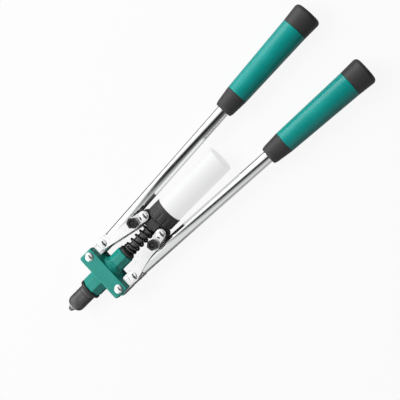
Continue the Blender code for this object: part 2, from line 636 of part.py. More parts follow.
def make_slide(slide):
    tube = [
        (PULL_TUBE_START, PULL_TUBE_BORE), (PULL_TUBE_START, PULL_TUBE_RADIUS),
        (PULL_TUBE_END, PULL_TUBE_RADIUS), (PULL_TUBE_END, PULL_TUBE_BORE),
    ]
    add("pull_tube", revolve("pull_tube", tube, ROUND), "dark_steel", slide)

    hub = slab("yoke", box_outline(YOKE_HUB_WIDTH, YOKE_HUB_HEIGHT, YOKE_HUB_EDGE),
               YOKE_START + MM, YOKE_END - MM, axis="X")
    yoke = add("yoke", hub, "black_steel", slide)
    flange_end = YOKE_START + YOKE_FLANGE_LENGTH
    edge = 0.5 * MM
    flange = [
        (YOKE_START, 0.0), (YOKE_START, YOKE_FLANGE_RADIUS - edge),
        (YOKE_START + edge, YOKE_FLANGE_RADIUS), (flange_end - edge, YOKE_FLANGE_RADIUS),
        (flange_end, YOKE_FLANGE_RADIUS - edge), (flange_end, 0.0),
    ]
    shoulder_start = YOKE_END - YOKE_SHOULDER_LENGTH
    neck_end = CAP_START + YOKE_NECK_LENGTH
    shoulder = [
        (shoulder_start, 0.0), (shoulder_start, YOKE_FLANGE_RADIUS),
        (YOKE_END - 1.2 * MM, YOKE_SHOULDER_RADIUS), (YOKE_END, YOKE_SHOULDER_RADIUS),
        (YOKE_END, YOKE_NECK_RADIUS), (neck_end, YOKE_NECK_RADIUS), (neck_end, 0.0),
    ]
    wing = rounded([
        (YOKE_START + 0.4 * MM, WING_TIP, WING_CORNER),
        (YOKE_START + 0.4 * MM, -WING_TIP, WING_CORNER),
        (YOKE_END - 0.4 * MM, -WING_TIP, WING_CORNER),
        (YOKE_END - 0.4 * MM, WING_TIP, WING_CORNER),
    ])
    wing_shape = slab("wing", wing, -WING_THICKNESS / 2, WING_THICKNESS / 2, WING_EDGE, WING_EDGE)
    joined = [
        cutter(revolve("yoke_flange", flange, ROUND), slide),
        cutter(revolve("yoke_shoulder", shoulder, FINE), slide),
        cutter(wing_shape, slide),
    ]
    cuts = [cutter(rod("yoke_bore", PULL_TUBE_RADIUS + SEAT_GAP, YOKE_START - MM, neck_end + MM,
                       ROUND, "X"), slide)]
    for side_name, turn in (("left", 1), ("right", -1)):
        place = (SLIDE_PIN_X, turn * SLIDE_PIN_Y, 0.0)
        boss = rod("wing_boss_" + side_name, WING_BOSS_RADIUS, -WING_BOSS_HALF, WING_BOSS_HALF)
        joined.append(cutter(boss, slide, place))
        hole = rod("slide_hole_" + side_name, SLIDE_PIN_RADIUS + SEAT_GAP, -HEAD_SEAT, HEAD_SEAT,
                   SMALL)
        cuts.append(cutter(hole, slide, place))
        pin = headed_pin(side_name + "_slide_pin", SLIDE_PIN_RADIUS, HEAD_SEAT, DOME_HEIGHT)
        add(side_name + "_slide_pin", pin, "chrome", slide, place)
    combine(yoke, "UNION", joined)
    combine(yoke, "DIFFERENCE", cuts)


def make_cap(slide):
    """The ribbed cap: a shell of rings, fluted over its front stretch."""
    flute_end = CAP_START + CAP_FLUTE_LENGTH
    neck = YOKE_NECK_RADIUS + SEAT_GAP
    inside = CAP_START + CAP_FRONT_WALL
    stations = [
        (CAP_START, neck, 0.0), (CAP_START, CAP_RADIUS - CAP_EDGE, CAP_FLUTE_DEPTH),
        (CAP_START + CAP_EDGE, CAP_RADIUS, CAP_FLUTE_DEPTH), (flute_end, CAP_RADIUS, CAP_FLUTE_DEPTH),
        (flute_end + 1.5 * MM, CAP_RADIUS, 0.0), (CAP_END - CAP_EDGE, CAP_RADIUS, 0.0),
        (CAP_END, CAP_RADIUS - CAP_EDGE, 0.0), (CAP_END, CAP_SOCKET_RADIUS, 0.0),
        (inside, CAP_SOCKET_RADIUS, 0.0), (inside, neck, 0.0),
    ]
    sides = CAP_FLUTES * 5
    bm = bmesh.new()
    rings = []
    for x, radius, depth in stations:
        ring = []
        for k in range(sides):
            angle = 2 * pi * k / sides
            groove = max(0.0, cos(CAP_FLUTES * angle)) ** 2
            r = radius - depth * groove
            ring.append(bm.verts.new((x, r * sin(angle), r * cos(angle))))
        rings.append(ring)
    for first, second in zip(rings, rings[1:] + rings[:1]):
        for k in range(sides):
            n = (k + 1) % sides
            bm.faces.new((first[k], first[n], second[n], second[k]))
    add("collector_cap", to_mesh(bm, "collector_cap"), "black_plastic", slide)


def make_bottle(bottle):
    end = CAP_END + BOTTLE_LENGTH
    mouth = BOTTLE_START - BOTTLE_NECK_LENGTH
    wall = BOTTLE_WALL
    round_end = BOTTLE_END_ROUND
    shoulder = BOTTLE_SHOULDER_ROUND
    outer_end = arc((end - round_end, BOTTLE_RADIUS - round_end), round_end, 90, 0, 4)
    inner_end = arc((end - round_end, BOTTLE_RADIUS - round_end), round_end - wall, 0, 90, 4)
    outer_shoulder = arc((BOTTLE_START + shoulder, BOTTLE_RADIUS - shoulder), shoulder, 180, 90, 3)
    neck_inner = BOTTLE_NECK_RADIUS - BOTTLE_NECK_WALL
    outline = [(end, 0.0)] + list(reversed(outer_end)) + list(reversed(outer_shoulder)) + [
        (BOTTLE_START, BOTTLE_NECK_RADIUS), (mouth, BOTTLE_NECK_RADIUS), (mouth, neck_inner),
        (BOTTLE_START + wall, neck_inner), (BOTTLE_START + wall, BOTTLE_RADIUS - 2 * wall),
        (BOTTLE_START + 2 * wall, BOTTLE_RADIUS - wall),
    ] + list(reversed(inner_end)) + [(end - wall, 0.0)]
    add("collector_bottle", revolve("collector_bottle", outline, FINE), "milky_plastic", bottle)


def bracket_outline(turn):
    """A bracket plate, from its round front end to its round knee end."""
    front = (BRACKET_RIVET_ALONG, -BRACKET_RIVET_INSET)
    knee = (KNEE_ALONG, -KNEE_INSET)
    lean = atan2(knee[1] - front[1], knee[0] - front[0])
    reach = hypot(knee[0] - front[0], knee[1] - front[1])
    open_angle = asin((BRACKET_KNEE_RADIUS - BRACKET_FRONT_RADIUS) / reach)
    inner = 270 + (lean - open_angle) * 180 / pi
    nose = arc(front, BRACKET_FRONT_RADIUS, BRACKET_FRONT_TURN, inner, 12)
    end = arc(knee, BRACKET_KNEE_RADIUS, inner - 360, BRACKET_KNEE_TURN, 12)
    start, stop = Vector(end[-1]), Vector(nose[0])
    before = Vector(knee) + Vector(BRACKET_WAIST_PULL)
    after = Vector(front) + Vector(BRACKET_CREST_PULL)
    edge = []
    for k in range(1, 7):
        t = k / 7
        point = (start * (1 - t) ** 3 + before * 3 * t * (1 - t) ** 2
                 + after * 3 * t * t * (1 - t) + stop * t ** 3)
        edge.append(tuple(point))
    return [(x, turn * y) for x, y in nose + end + edge]


def make_arm(side, turn, arm):
    """Tongue, tube, bracket plates, knee bolt and grip of one arm, drawn from its head pin."""
    tube_y = -turn * TUBE_OFFSET
    rivet = (BRACKET_RIVET_ALONG, -turn * BRACKET_RIVET_INSET, 0.0)
    knee = (KNEE_ALONG, -turn * KNEE_INSET, 0.0)

    bore = TUBE_RADIUS - TUBE_WALL
    tube = [(TUBE_START, bore), (TUBE_START, TUBE_RADIUS), (TUBE_END, TUBE_RADIUS),
            (TUBE_END, bore)]
    add(side + "_arm_tube", revolve(side + "_arm_tube", tube, FINE), "chrome", arm,
        (0.0, tube_y, 0.0))

    tongue_end = TUBE_START - SEAT_GAP
    eye = arc((0.0, 0.0), TONGUE_EYE_RADIUS, 90, 270, 12)
    plan = [(x, turn * y) for x, y in eye + [
        (tongue_end, -TUBE_OFFSET - TUBE_RADIUS), (tongue_end, -TUBE_OFFSET + TUBE_RADIUS)]]
    block = slab(side + "_arm_tongue", plan, -TUBE_RADIUS, TUBE_RADIUS, TONGUE_EDGE, TONGUE_EDGE)
    tongue = add(side + "_arm_tongue", block, "chrome", arm)
    plug = rod(side + "_plug", bore - SEAT_GAP, tongue_end - 2 * MM,
               TUBE_START + TONGUE_PLUG_LENGTH, ROUND, "X")
    combine(tongue, "UNION", [cutter(plug, arm, (0.0, tube_y, 0.0))])
    eye_hole = rod(side + "_eye_hole", PIVOT_HOLE_RADIUS, -TUBE_RADIUS - MM, TUBE_RADIUS + MM)
    rivet_hole = rod(side + "_rivet_hole", BRACKET_RIVET_RADIUS + SEAT_GAP, -HEAD_SEAT, HEAD_SEAT,
                     SMALL)
    hole_shape = cutter(rivet_hole, arm, rivet)
    combine(tongue, "DIFFERENCE", [cutter(eye_hole, arm), hole_shape])

    outline = bracket_outline(turn)
    knee_hole = rod(side + "_knee_hole", BOLT_RADIUS + SEAT_GAP, -HEAD_SEAT, HEAD_SEAT, SMALL)
    knee_shape = cutter(knee_hole, arm, knee)
    outer = BRACKET_FACE + BRACKET_THICKNESS
    for place, low, high, top, bottom in (
        ("front", BRACKET_FACE, outer, PLATE_EDGE, 0.0),
        ("rear", -outer, -BRACKET_FACE, 0.0, PLATE_EDGE),
    ):
        name = side + "_" + place + "_bracket"
        plate = add(name, slab(name, outline, low, high, top, bottom), "chrome", arm)
        combine(plate, "DIFFERENCE", [hole_shape, knee_shape])

    pin = headed_pin(side + "_bracket_rivet", BRACKET_RIVET_RADIUS, outer + SEAT_GAP, DOME_HEIGHT)
    add(side + "_bracket_rivet", pin, "chrome", arm, rivet)
    make_knee(side, turn, arm, knee)
    make_grip(side, arm, tube_y)


def make_knee(side, turn, arm, knee):
    """The bolt through both plates and links, with a washer and nut in front."""
    washer_low = HEAD_SEAT
    washer_high = washer_low + WASHER_THICKNESS
    nut_low = washer_high + SEAT_GAP
    nut_high = nut_low + NUT_HEIGHT
    hole = BOLT_RADIUS + SEAT_GAP
    corner = radians(HEX_TURN) * turn
    head, _ = hexagon(side + "_knee_bolt", HEAD_SEAT, HEAD_SEAT + BOLT_HEAD_HEIGHT, corner, 0.0,
                      HEX_CHAMFER)
    head.transform(Matrix.Rotation(pi, 4, "X"))
    bolt = add(side + "_knee_bolt", head, "black_steel", arm, knee)
    shank = rod(side + "_bolt_shank", BOLT_RADIUS, -HEAD_SEAT - MM, nut_high - NUT_RECESS, SMALL)
    combine(bolt, "UNION", [cutter(shank, arm, knee)])
    ring = [(washer_low, hole), (washer_low, WASHER_RADIUS), (washer_high, WASHER_RADIUS),
            (washer_high, hole)]
    add(side + "_knee_washer", revolve(side + "_knee_washer", ring, ROUND, "Z"), "chrome", arm, knee)
    nut_mesh, bore = hexagon(side + "_knee_nut", nut_low, nut_high, corner, hole, HEX_CHAMFER)
    nut = add(side + "_knee_nut", nut_mesh, "black_steel", arm, knee)
    combine(nut, "DIFFERENCE", [cutter(bore, arm, knee)])


def make_grip(side, arm, tube_y):
    """Front collar, coloured sleeve and closed end, all bored for the tube."""
    bore = TUBE_RADIUS + SEAT_GAP
    place = (0.0, tube_y, 0.0)
    lip = GRIP_LIP_ROUND
    collar_end = GRIP_SLEEVE_START - SEAT_GAP / 2
    collar = [(GRIP_START, bore)] + arc((GRIP_START + lip, GRIP_LIP_RADIUS - lip), lip, 180, 90, 3)
    collar += [(GRIP_START + 4 * MM, GRIP_COLLAR_RADIUS), (collar_end, GRIP_SLEEVE_START_RADIUS),
               (collar_end, bore)]
    add(side + "_grip_collar", revolve(side + "_grip_collar", collar, FINE), "black_plastic", arm,
        place)

    start = GRIP_SLEEVE_START + SEAT_GAP / 2
    end = GRIP_SLEEVE_END - SEAT_GAP / 2
    sleeve = [(start, bore), (start, GRIP_SLEEVE_START_RADIUS), (end, GRIP_SLEEVE_END_RADIUS),
              (end, bore)]
    add(side + "_grip_sleeve", revolve(side + "_grip_sleeve", sleeve, FINE), "teal_rubber", arm,
        place)

    cap_start = GRIP_SLEEVE_END + SEAT_GAP / 2
    stop = TUBE_END + SEAT_GAP
    corner = arc((GRIP_END - GRIP_END_ROUND, GRIP_CAP_RADIUS - GRIP_END_ROUND), GRIP_END_ROUND,
                 90, 0, 5)
    cap = [(stop, 0.0), (stop, bore), (cap_start, bore), (cap_start, GRIP_SLEEVE_END_RADIUS)]
    cap += corner + [(GRIP_END, 0.0)]
    add(side + "_grip_end", revolve(side + "_grip_end", cap, FINE), "black_plastic", arm, place)


def make_links(side, turn, link, reach, slide):
    """Front and rear link plates on the slide pin, drawn along the line to the knee."""
    ends = arc((0.0, 0.0), LINK_RADIUS, -90, 90, 10) + arc((-reach, 0.0), LINK_RADIUS, 90, 270, 10)
    pin_hole = cutter(rod(side + "_link_pin_hole", SLIDE_PIN_RADIUS + RUN_GAP, -HEAD_SEAT,
                          HEAD_SEAT, SMALL), link)
    knee_hole = cutter(rod(side + "_link_knee_hole", BOLT_RADIUS + SEAT_GAP + LINK_KNEE_PLAY,
                           -HEAD_SEAT, HEAD_SEAT, SMALL), link, (-reach, 0.0, 0.0))
    for place, low, high, top, bottom in (
        ("front", LINK_FACE, LINK_OUTER_FACE, PLATE_EDGE, 0.0),
        ("rear", -LINK_OUTER_FACE, -LINK_FACE, 0.0, PLATE_EDGE),
    ):
        name = side + "_" + place + "_link"
        plate = add(name, slab(name, ends, low, high, top, bottom), "chrome", link)
        combine(plate, "DIFFERENCE", [pin_hole, knee_hole])


def build():
    clear_scene()
    tool = empty("tool", (-TOOL_MIDDLE, 0.0, REST_HEIGHT))
    head = empty("head_axis", (0.0, 0.0, 0.0), tool)
    slide = empty("slide_axis", (0.0, 0.0, 0.0), tool)
    jaws = empty("jaw_axis", (0.0, 0.0, 0.0), slide)
    bottle = empty("bottle_axis", (0.0, 0.0, 0.0), slide)
    make_nose(head)
    make_head(head)
    make_jaws(slide, jaws)
    make_slide(slide)
    make_cap(slide)
    make_bottle(bottle)
    for side, turn in (("left", 1), ("right", -1)):
        lean = turn * ARM_LEAN
        pivot = Vector((HEAD_PIN_X, turn * HEAD_PIN_Y, 0.0))
        arm = empty(side + "_arm_axis", pivot, tool, lean)
        make_arm(side, turn, arm)
        knee = pivot + Matrix.Rotation(lean, 3, "Z") @ Vector((KNEE_ALONG, -turn * KNEE_INSET, 0.0))
        pin = Vector((SLIDE_PIN_X, turn * SLIDE_PIN_Y, 0.0))
        line = pin - knee
        link = empty(side + "_link_axis", pin, slide, atan2(line.y, line.x))
        make_links(side, turn, link, line.length, slide)


build()
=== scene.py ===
import math

import bmesh
import bpy
from mathutils import Matrix, Vector


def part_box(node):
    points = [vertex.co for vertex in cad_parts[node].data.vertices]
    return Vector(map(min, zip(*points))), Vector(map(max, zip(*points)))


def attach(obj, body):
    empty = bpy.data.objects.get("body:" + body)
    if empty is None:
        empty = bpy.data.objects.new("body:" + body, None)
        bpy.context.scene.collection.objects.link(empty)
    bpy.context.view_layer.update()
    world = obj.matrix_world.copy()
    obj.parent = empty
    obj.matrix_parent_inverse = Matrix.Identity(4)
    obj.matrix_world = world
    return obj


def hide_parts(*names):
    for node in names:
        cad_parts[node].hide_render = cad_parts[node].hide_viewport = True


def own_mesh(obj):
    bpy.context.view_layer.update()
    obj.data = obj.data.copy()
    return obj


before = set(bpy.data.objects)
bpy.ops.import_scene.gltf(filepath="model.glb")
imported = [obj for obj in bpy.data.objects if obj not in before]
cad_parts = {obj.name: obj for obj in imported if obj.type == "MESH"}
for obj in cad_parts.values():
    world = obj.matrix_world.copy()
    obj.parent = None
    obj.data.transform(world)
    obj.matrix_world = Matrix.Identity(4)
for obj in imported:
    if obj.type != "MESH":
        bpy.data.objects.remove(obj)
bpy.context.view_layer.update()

scene = bpy.context.scene
mm = 0.001

# Lever hand riveter: its finished pieces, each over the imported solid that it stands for.
# The tool lies on its back. Its own x starts at the nose tip, and its axis is level.
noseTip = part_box("nosepiece")[0].x
axisHeight = sum(corner.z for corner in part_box("nosepiece")) / 2
toolPlace = Matrix.Translation((noseTip, 0, axisHeight))

armShape = {
    "pinX": 64.3,        # mm from the nose tip
    "pinY": 24.8,
    "lean": 3.2,         # degrees that a closed arm leans out
    "tubeInset": 1.2,    # tube axis inboard of the head pin
    "kneeAlong": 63.0,
    "kneeInset": 11.5,
    "rivetAlong": 20.2,
    "rivetInset": 0.3,
}
slideShape = {"pinX": 141.8, "pinY": 14.0}
plateLevels = {  # mm above the tool's axis
    "bracketLow": 7.55, "bracketHigh": 9.35, "linkLow": 9.65, "linkHigh": 11.45, "headSeat": 11.75,
}
sides = {"left": 1, "right": -1}


def armPlace(side):
    turn = sides[side]
    pin = Matrix.Translation((armShape["pinX"] * mm, turn * armShape["pinY"] * mm, 0))
    return toolPlace @ pin @ Matrix.Rotation(turn * math.radians(armShape["lean"]), 4, "Z")


def armPoint(side, along, inset):
    return Matrix.Translation((along * mm, -sides[side] * inset * mm, 0))


def slidePin(side):
    return toolPlace @ Matrix.Translation((slideShape["pinX"] * mm, sides[side] * slideShape["pinY"] * mm, 0))


# Shader maths: a wire is a socket that takes part in plain arithmetic
class Wire:
    def __init__(self, look, socket):
        self.look = look
        self.socket = socket

    def work(self, operation, *values):
        return self.look.add("ShaderNodeMath", {"operation": operation}, dict(enumerate(values)))

    def __add__(self, other):
        return self.work("ADD", self, other)

    def __sub__(self, other):
        return self.work("SUBTRACT", self, other)

    def __rsub__(self, other):
        return self.work("SUBTRACT", other, self)

    def __mul__(self, other):
        return self.work("MULTIPLY", self, other)

    def __truediv__(self, other):
        return self.work("DIVIDE", self, other)

    __radd__ = __add__
    __rmul__ = __mul__

    def over(self, low, high):  # 0 below low, 1 above high, smooth between
        return self.look.add(
            "ShaderNodeMapRange", {"interpolation_type": "SMOOTHSTEP"},
            {"Value": self, "From Min": low, "From Max": high})


class Look:
    def __init__(self, owner):
        self.owner = owner
        owner.use_nodes = True
        self.tree = owner.node_tree
        self.tree.nodes.clear()

    def add(self, kind, settings=None, sockets=None, out=0):
        node = self.tree.nodes.new(kind)
        for key, value in (settings or {}).items():
            if key == "stops":
                ramp = node.color_ramp
                while len(ramp.elements) > 1:
                    ramp.elements.remove(ramp.elements[-1])
                for count, (place, tone) in enumerate(value):
                    stop = ramp.elements.new(place) if count else ramp.elements[0]
                    stop.position = place
                    stop.color = tone
            else:
                setattr(node, key, value)
        for key, value in (sockets or {}).items():
            if isinstance(value, Wire):
                self.tree.links.new(value.socket, node.inputs[key])
            else:
                node.inputs[key].default_value = value
        return Wire(self, node.outputs[out]) if node.outputs else None

    def place(self, turn=0.0, stretch=(1, 1, 1)):  # object coordinates, turned and stretched
        where = self.add("ShaderNodeTexCoord", out="Object")
        return self.add("ShaderNodeMapping", {}, {
            "Vector": where, "Rotation": (0, 0, math.radians(turn)), "Scale": stretch})

    def noise(self, where, scale, detail):
        return self.add("ShaderNodeTexNoise", {}, {
            "Vector": where, "Scale": scale, "Detail": detail, "Roughness": 0.55})

    def blend(self, share, first, second):
        return self.add("ShaderNodeMix", {"data_type": "RGBA"}, {0: share, 6: first, 7: second}, out=2)

    def bump(self, height, depth, strength):  # depth in mm
        return self.add("ShaderNodeBump", {}, {
            "Height": height, "Distance": depth * mm, "Strength": strength})

    def ray(self, kind):
        return self.add("ShaderNodeLightPath", out="Is %s Ray" % kind)

    def surface(self, sockets):
        shader = self.add("ShaderNodeBsdfPrincipled", {}, sockets)
        self.add("ShaderNodeOutputMaterial", {}, {"Surface": shader})
        return self.owner


def newLook(name):
    return Look(bpy.data.materials.new(name))


def colour(red, green, blue):
    return (red, green, blue, 1.0)


def grey(value):
    return colour(value, value, value)


enamel = {
    "low": (0.006, 0.30, 0.245), "high": (0.010, 0.335, 0.275), "cloud": 60, "peel": 900, "grain": 2600,
    "grainShare": 0.4, "depth": 0.05, "bump": 0.6, "rough": 0.30, "roughGrain": 0.10,
    "coat": 0.15, "coatRough": 0.22,
}


def greenEnamel():
    e = enamel
    look = newLook("green_enamel")
    where = look.place()
    cloud = look.noise(where, e["cloud"], 3)
    peel = look.noise(where, e["peel"], 2)
    grain = look.noise(where, e["grain"], 2)
    return look.surface({
        "Base Color": look.blend(cloud.over(0.3, 0.7), colour(*e["low"]), colour(*e["high"])),
        "Roughness": e["rough"] + e["roughGrain"] * grain,
        "Coat Weight": e["coat"], "Coat Roughness": e["coatRough"],
        "Normal": look.bump(peel + e["grainShare"] * grain, e["depth"], e["bump"])})


chrome = {
    "tone": (0.90, 0.905, 0.91), "haze": 14, "hazeStretch": 18, "drawn": 1500, "drawnStretch": 0.04,
    "depth": 0.01, "bump": 0.1, "rough": 0.045, "roughHaze": 0.05, "roughDrawn": 0.03,
}


def chromePlate(side):
    c = chrome
    look = newLook("chrome_tube_" + side)
    lean = -sides[side] * armShape["lean"]
    haze = look.noise(look.place(lean, (c["hazeStretch"], 1, 1)), c["haze"], 3)
    drawn = look.noise(look.place(lean, (c["drawnStretch"], 1, 1)), c["drawn"], 2)
    return look.surface({
        "Base Color": colour(*c["tone"]), "Metallic": 1.0,
        "Roughness": c["rough"] + c["roughHaze"] * haze.over(0.45, 0.75) + c["roughDrawn"] * drawn,
        "Normal": look.bump(drawn, c["depth"], c["bump"])})


bright = {
    "cloud": 120, "dulled": (0.06, 0.055, 0.045), "roll": 2200, "rollStretch": 0.15,
    "depth": 0.01, "bump": 0.15, "roughRoll": 0.06,
}


def brightPlate(name, rough, tint, metallic=1.0):
    b = bright
    look = newLook(name)
    cloud = look.noise(look.place(), b["cloud"], 3)
    roll = look.noise(look.place(0, (b["rollStretch"], 1, 1)), b["roll"], 2)
    dull = colour(*[tint - less for less in b["dulled"]])
    return look.surface({
        "Base Color": look.blend(cloud.over(0.35, 0.7), grey(tint), dull), "Metallic": metallic,
        "Roughness": rough + b["roughRoll"] * roll, "Normal": look.bump(roll, b["depth"], b["bump"])})


dark = {"cloud": 150, "low": 0.8, "high": 1.25, "grain": 2500, "depth": 0.02, "bump": 0.5, "roughCloud": 0.12}


def darkMetal(name, base, metallic, rough):
    d = dark
    look = newLook(name)
    where = look.place()
    cloud = look.noise(where, d["cloud"], 4)
    grain = look.noise(where, d["grain"], 2)
    return look.surface({
        "Base Color": look.blend(cloud, grey(base * d["low"]), grey(base * d["high"])), "Metallic": metallic,
        "Roughness": rough + d["roughCloud"] * cloud, "Normal": look.bump(grain, d["depth"], d["bump"])})


moulding = {
    "low": (0.031, 0.031, 0.032), "high": (0.043, 0.042, 0.043), "cloud": 80, "grain": 1500,
    "depth": 0.05, "bump": 0.55, "rough": 0.42, "roughCloud": 0.12, "specular": 0.55,
}


def blackMoulding():
    m = moulding
    look = newLook("black_moulding")
    where = look.place()
    grain = look.add("ShaderNodeTexVoronoi", {"feature": "SMOOTH_F1"}, {"Vector": where, "Scale": m["grain"]})
    cloud = look.noise(where, m["cloud"], 3)
    return look.surface({
        "Base Color": look.blend(cloud, colour(*m["low"]), colour(*m["high"])),
        "Roughness": m["rough"] + m["roughCloud"] * cloud, "Specular IOR Level": m["specular"],
        "Normal": look.bump(grain, m["depth"], m["bump"])})


rubber = {
    "low": (0.002, 0.36, 0.325), "high": (0.006, 0.40, 0.36), "cloud": 45, "grain": 1700,
    "depth": 0.03, "bump": 0.35, "rough": 0.23, "roughGrain": 0.06,
}


def tealGrip():
    r = rubber
    look = newLook("teal_grip")
    where = look.place()
    cloud = look.noise(where, r["cloud"], 3)
    grain = look.noise(where, r["grain"], 2)
    return look.surface({
        "Base Color": look.blend(cloud.over(0.3, 0.7), colour(*r["low"]), colour(*r["high"])),
        "Roughness": r["rough"] + r["roughGrain"] * grain,
        "Normal": look.bump(grain, r["depth"], r["bump"])})


milk = {
    "low": (0.255, 0.258, 0.262), "high": (0.28, 0.28, 0.284), "flow": 90, "flowStretch": 0.3,
    "ripple": 300, "depth": 0.04, "bump": 0.2, "rough": 0.34, "roughFlow": 0.08,
    "glow": 0.64,  # stands for the light that comes through the wall
}


def milkyBottle():
    m = milk
    look = newLook("milky_bottle")
    flow = look.noise(look.place(0, (m["flowStretch"], 1, 1)), m["flow"], 3)
    ripple = look.noise(look.place(), m["ripple"], 2)
    return look.surface({
        "Base Color": look.blend(flow, colour(*m["low"]), colour(*m["high"])),
        "Roughness": m["rough"] + m["roughFlow"] * flow,
        "Emission Color": grey(1.0), "Emission Strength": m["glow"],
        "Normal": look.bump(ripple, m["depth"], m["bump"])})


looks = {
    "green": greenEnamel(),
    "tubeLeft": chromePlate("left"),
    "tubeRight": chromePlate("right"),
    "plate": brightPlate("plated_steel", 0.10, 0.95, 0.6),
    "dome": brightPlate("polished_rivet", 0.05, 0.92),
    "rim": brightPlate("bright_rim", 0.15, 0.85),
    "blackSteel": darkMetal("blackened_steel", 0.054, 0.55, 0.34),
    "blackNut": darkMetal("black_oxide", 0.036, 0.45, 0.27),
    "springSteel": darkMetal("black_spring", 0.11, 1.0, 0.24),
    "darkSteel": darkMetal("oiled_steel", 0.12, 0.7, 0.36),
    "toolSteel": darkMetal("ground_steel", 0.45, 1.0, 0.28),
    "blackPlastic": blackMoulding(),
    "teal": tealGrip(),
    "bottle": milkyBottle(),
}
print("materials:", len(looks))

# Edges that turn by more degrees than this stay sharp
crease = {"plate": 12, "worn": 20, "flatted": 24, "hexagon": 30, "turned": 32, "round": 40, "dome": 50,
          "soft": 60}

# Steps round a turned piece
steps = {"shank": 48, "dome": 64, "small": 72, "seat": 96, "lockRing": 120, "large": 128, "flatted": 144,
         "cap": 288}


def keep(mesh, name, body, finish, replaced, sharp="turned"):
    # a finished piece: its look, the body it rides on, and the solids it stands for
    made = bpy.data.objects.new(name, mesh)
    scene.collection.objects.link(made)
    mesh.name = name
    mesh.materials.clear()
    mesh.materials.append(looks[finish])
    mesh.shade_smooth()
    mesh.set_sharp_from_angle(angle=math.radians(crease[sharp]))
    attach(made, body)
    if replaced:
        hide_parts(*replaced)
    return made


def meshFrom(bm, place):
    bmesh.ops.remove_doubles(bm, verts=bm.verts, dist=1e-8)
    bmesh.ops.recalc_face_normals(bm, faces=bm.faces)
    bmesh.ops.transform(bm, verts=bm.verts, matrix=place)
    mesh = bpy.data.meshes.new("shape")
    bm.to_mesh(mesh)
    bm.free()
    return mesh


def arc(x, r, radius, start, end, count):
    turns = [math.radians(start + (end - start) * k / count) for k in range(count + 1)]
    return [(x + radius * math.cos(a), r + radius * math.sin(a)) for a in turns]


rounding = {"share": 0.42, "leastBend": 0.30, "leastReach": 0.01, "steps": 3}
brace = {"reach": 0.4, "longRun": 2.0}
plateRim = {"holeSteps": 40, "leastTurn": 1.2, "segments": 3}


def softened(outline, radius, closed=True):
    # an outline with its corners rounded, each within a share of the runs beside it
    made = []
    share, count = rounding["share"], rounding["steps"]
    last = len(outline) - 1
    for k, point in enumerate(outline):
        here = Vector(point)
        if not closed and k in (0, last):
            made.append(tuple(here))
            continue
        back = Vector(outline[k - 1]) - here
        ahead = Vector(outline[(k + 1) % len(outline)]) - here
        if min(back.length, ahead.length) < 1e-9:
            continue
        bend = math.pi - back.angle(ahead)
        reach = min(radius * math.tan(bend / 2), share * back.length, share * ahead.length)
        if bend < rounding["leastBend"] or reach < rounding["leastReach"]:
            made.append(tuple(here))
            continue
        first = here + back.normalized() * reach
        second = here + ahead.normalized() * reach
        for step in range(count + 1):
            t = step / count
            made.append(tuple(first * (1 - t) ** 2 + here * 2 * t * (1 - t) + second * t * t))
    return made


def braced(outline):
    # points close to the ends of every long run, which keep its shading straight
    made = []
    reach = brace["reach"]
    onAxis = outline[0][1] < 1e-6
    for k, point in enumerate(outline):
        made.append(point)
        here = Vector(point)
        run = Vector(outline[(k + 1) % len(outline)]) - here
        if run.length > brace["longRun"] and not (onAxis and k == len(outline) - 1):
            made.append(tuple(here + run.normalized() * reach))
            made.append(tuple(here + run - run.normalized() * reach))
    return made


def lathe(outline, place, count, shape=None, upright=False):
    # outline points are (along, radius) in mm; a point on the axis closes the body there
    bm = bmesh.new()
    rings = []
    for along, radius in braced(outline):
        if radius < 1e-6:
            spot = (0, 0, along * mm) if upright else (along * mm, 0, 0)
            rings.append([bm.verts.new(spot)] * count)
            continue
        ring = []
        for k in range(count):
            angle = 2 * math.pi * k / count
            r = (shape(along, radius, angle) if shape else radius) * mm
            spot = (r * math.cos(angle), r * math.sin(angle), along * mm)
            ring.append(bm.verts.new(spot if upright else (spot[2], spot[0], spot[1])))
        rings.append(ring)
    pairs = list(zip(rings, rings[1:]))
    if outline[0][1] > 1e-6:
        pairs.append((rings[-1], rings[0]))
    for first, second in pairs:
        for k in range(count):
            n = (k + 1) % count
            corners = []
            for vert in (first[k], first[n], second[n], second[k]):
                if vert not in corners:
                    corners.append(vert)
            if len(corners) > 2:
                bm.faces.new(corners)
    return meshFrom(bm, place)


def flatSides(number, distance, turn=0.0):
    # radius limit of a turned body that is cut flat on several sides
    step = 2 * math.pi / number

    def limit(along, radius, angle):
        away = (angle - math.radians(turn) + step / 2) % step - step / 2
        return min(radius, distance / math.cos(away))
    return limit


def plate(outline, low, high, edge, holes, place):
    # a flat plate with holes, its rims rounded over
    bm = bmesh.new()
    for loop in [outline] + [arc(x, y, r, 0, 360, plateRim["holeSteps"])[:-1] for x, y, r in holes]:
        verts = [bm.verts.new((x * mm, y * mm, low * mm)) for x, y in loop]
        for k, vert in enumerate(verts):
            bm.edges.new((vert, verts[(k + 1) % len(verts)]))
    bmesh.ops.triangle_fill(bm, edges=bm.edges, use_beauty=True, normal=(0, 0, 1))
    raised = bmesh.ops.extrude_face_region(bm, geom=list(bm.faces))["geom"]
    top = [item for item in raised if isinstance(item, bmesh.types.BMVert)]
    bmesh.ops.translate(bm, verts=top, vec=(0, 0, (high - low) * mm))
    bmesh.ops.recalc_face_normals(bm, faces=bm.faces)
    rims = [e for e in bm.edges if len(e.link_faces) == 2 and e.calc_face_angle() > plateRim["leastTurn"]
            and abs(e.verts[0].co.z - e.verts[1].co.z) < 1e-7]
    bmesh.ops.bevel(bm, geom=rims, offset=edge * mm, segments=plateRim["segments"], profile=0.5,
                    affect="EDGES", clamp_overlap=True)
    return meshFrom(bm, place)


def held(mesh):
    # an object for a mesh while its modifiers work
    holder = bpy.data.objects.new("holder", mesh)
    scene.collection.objects.link(holder)
    return holder


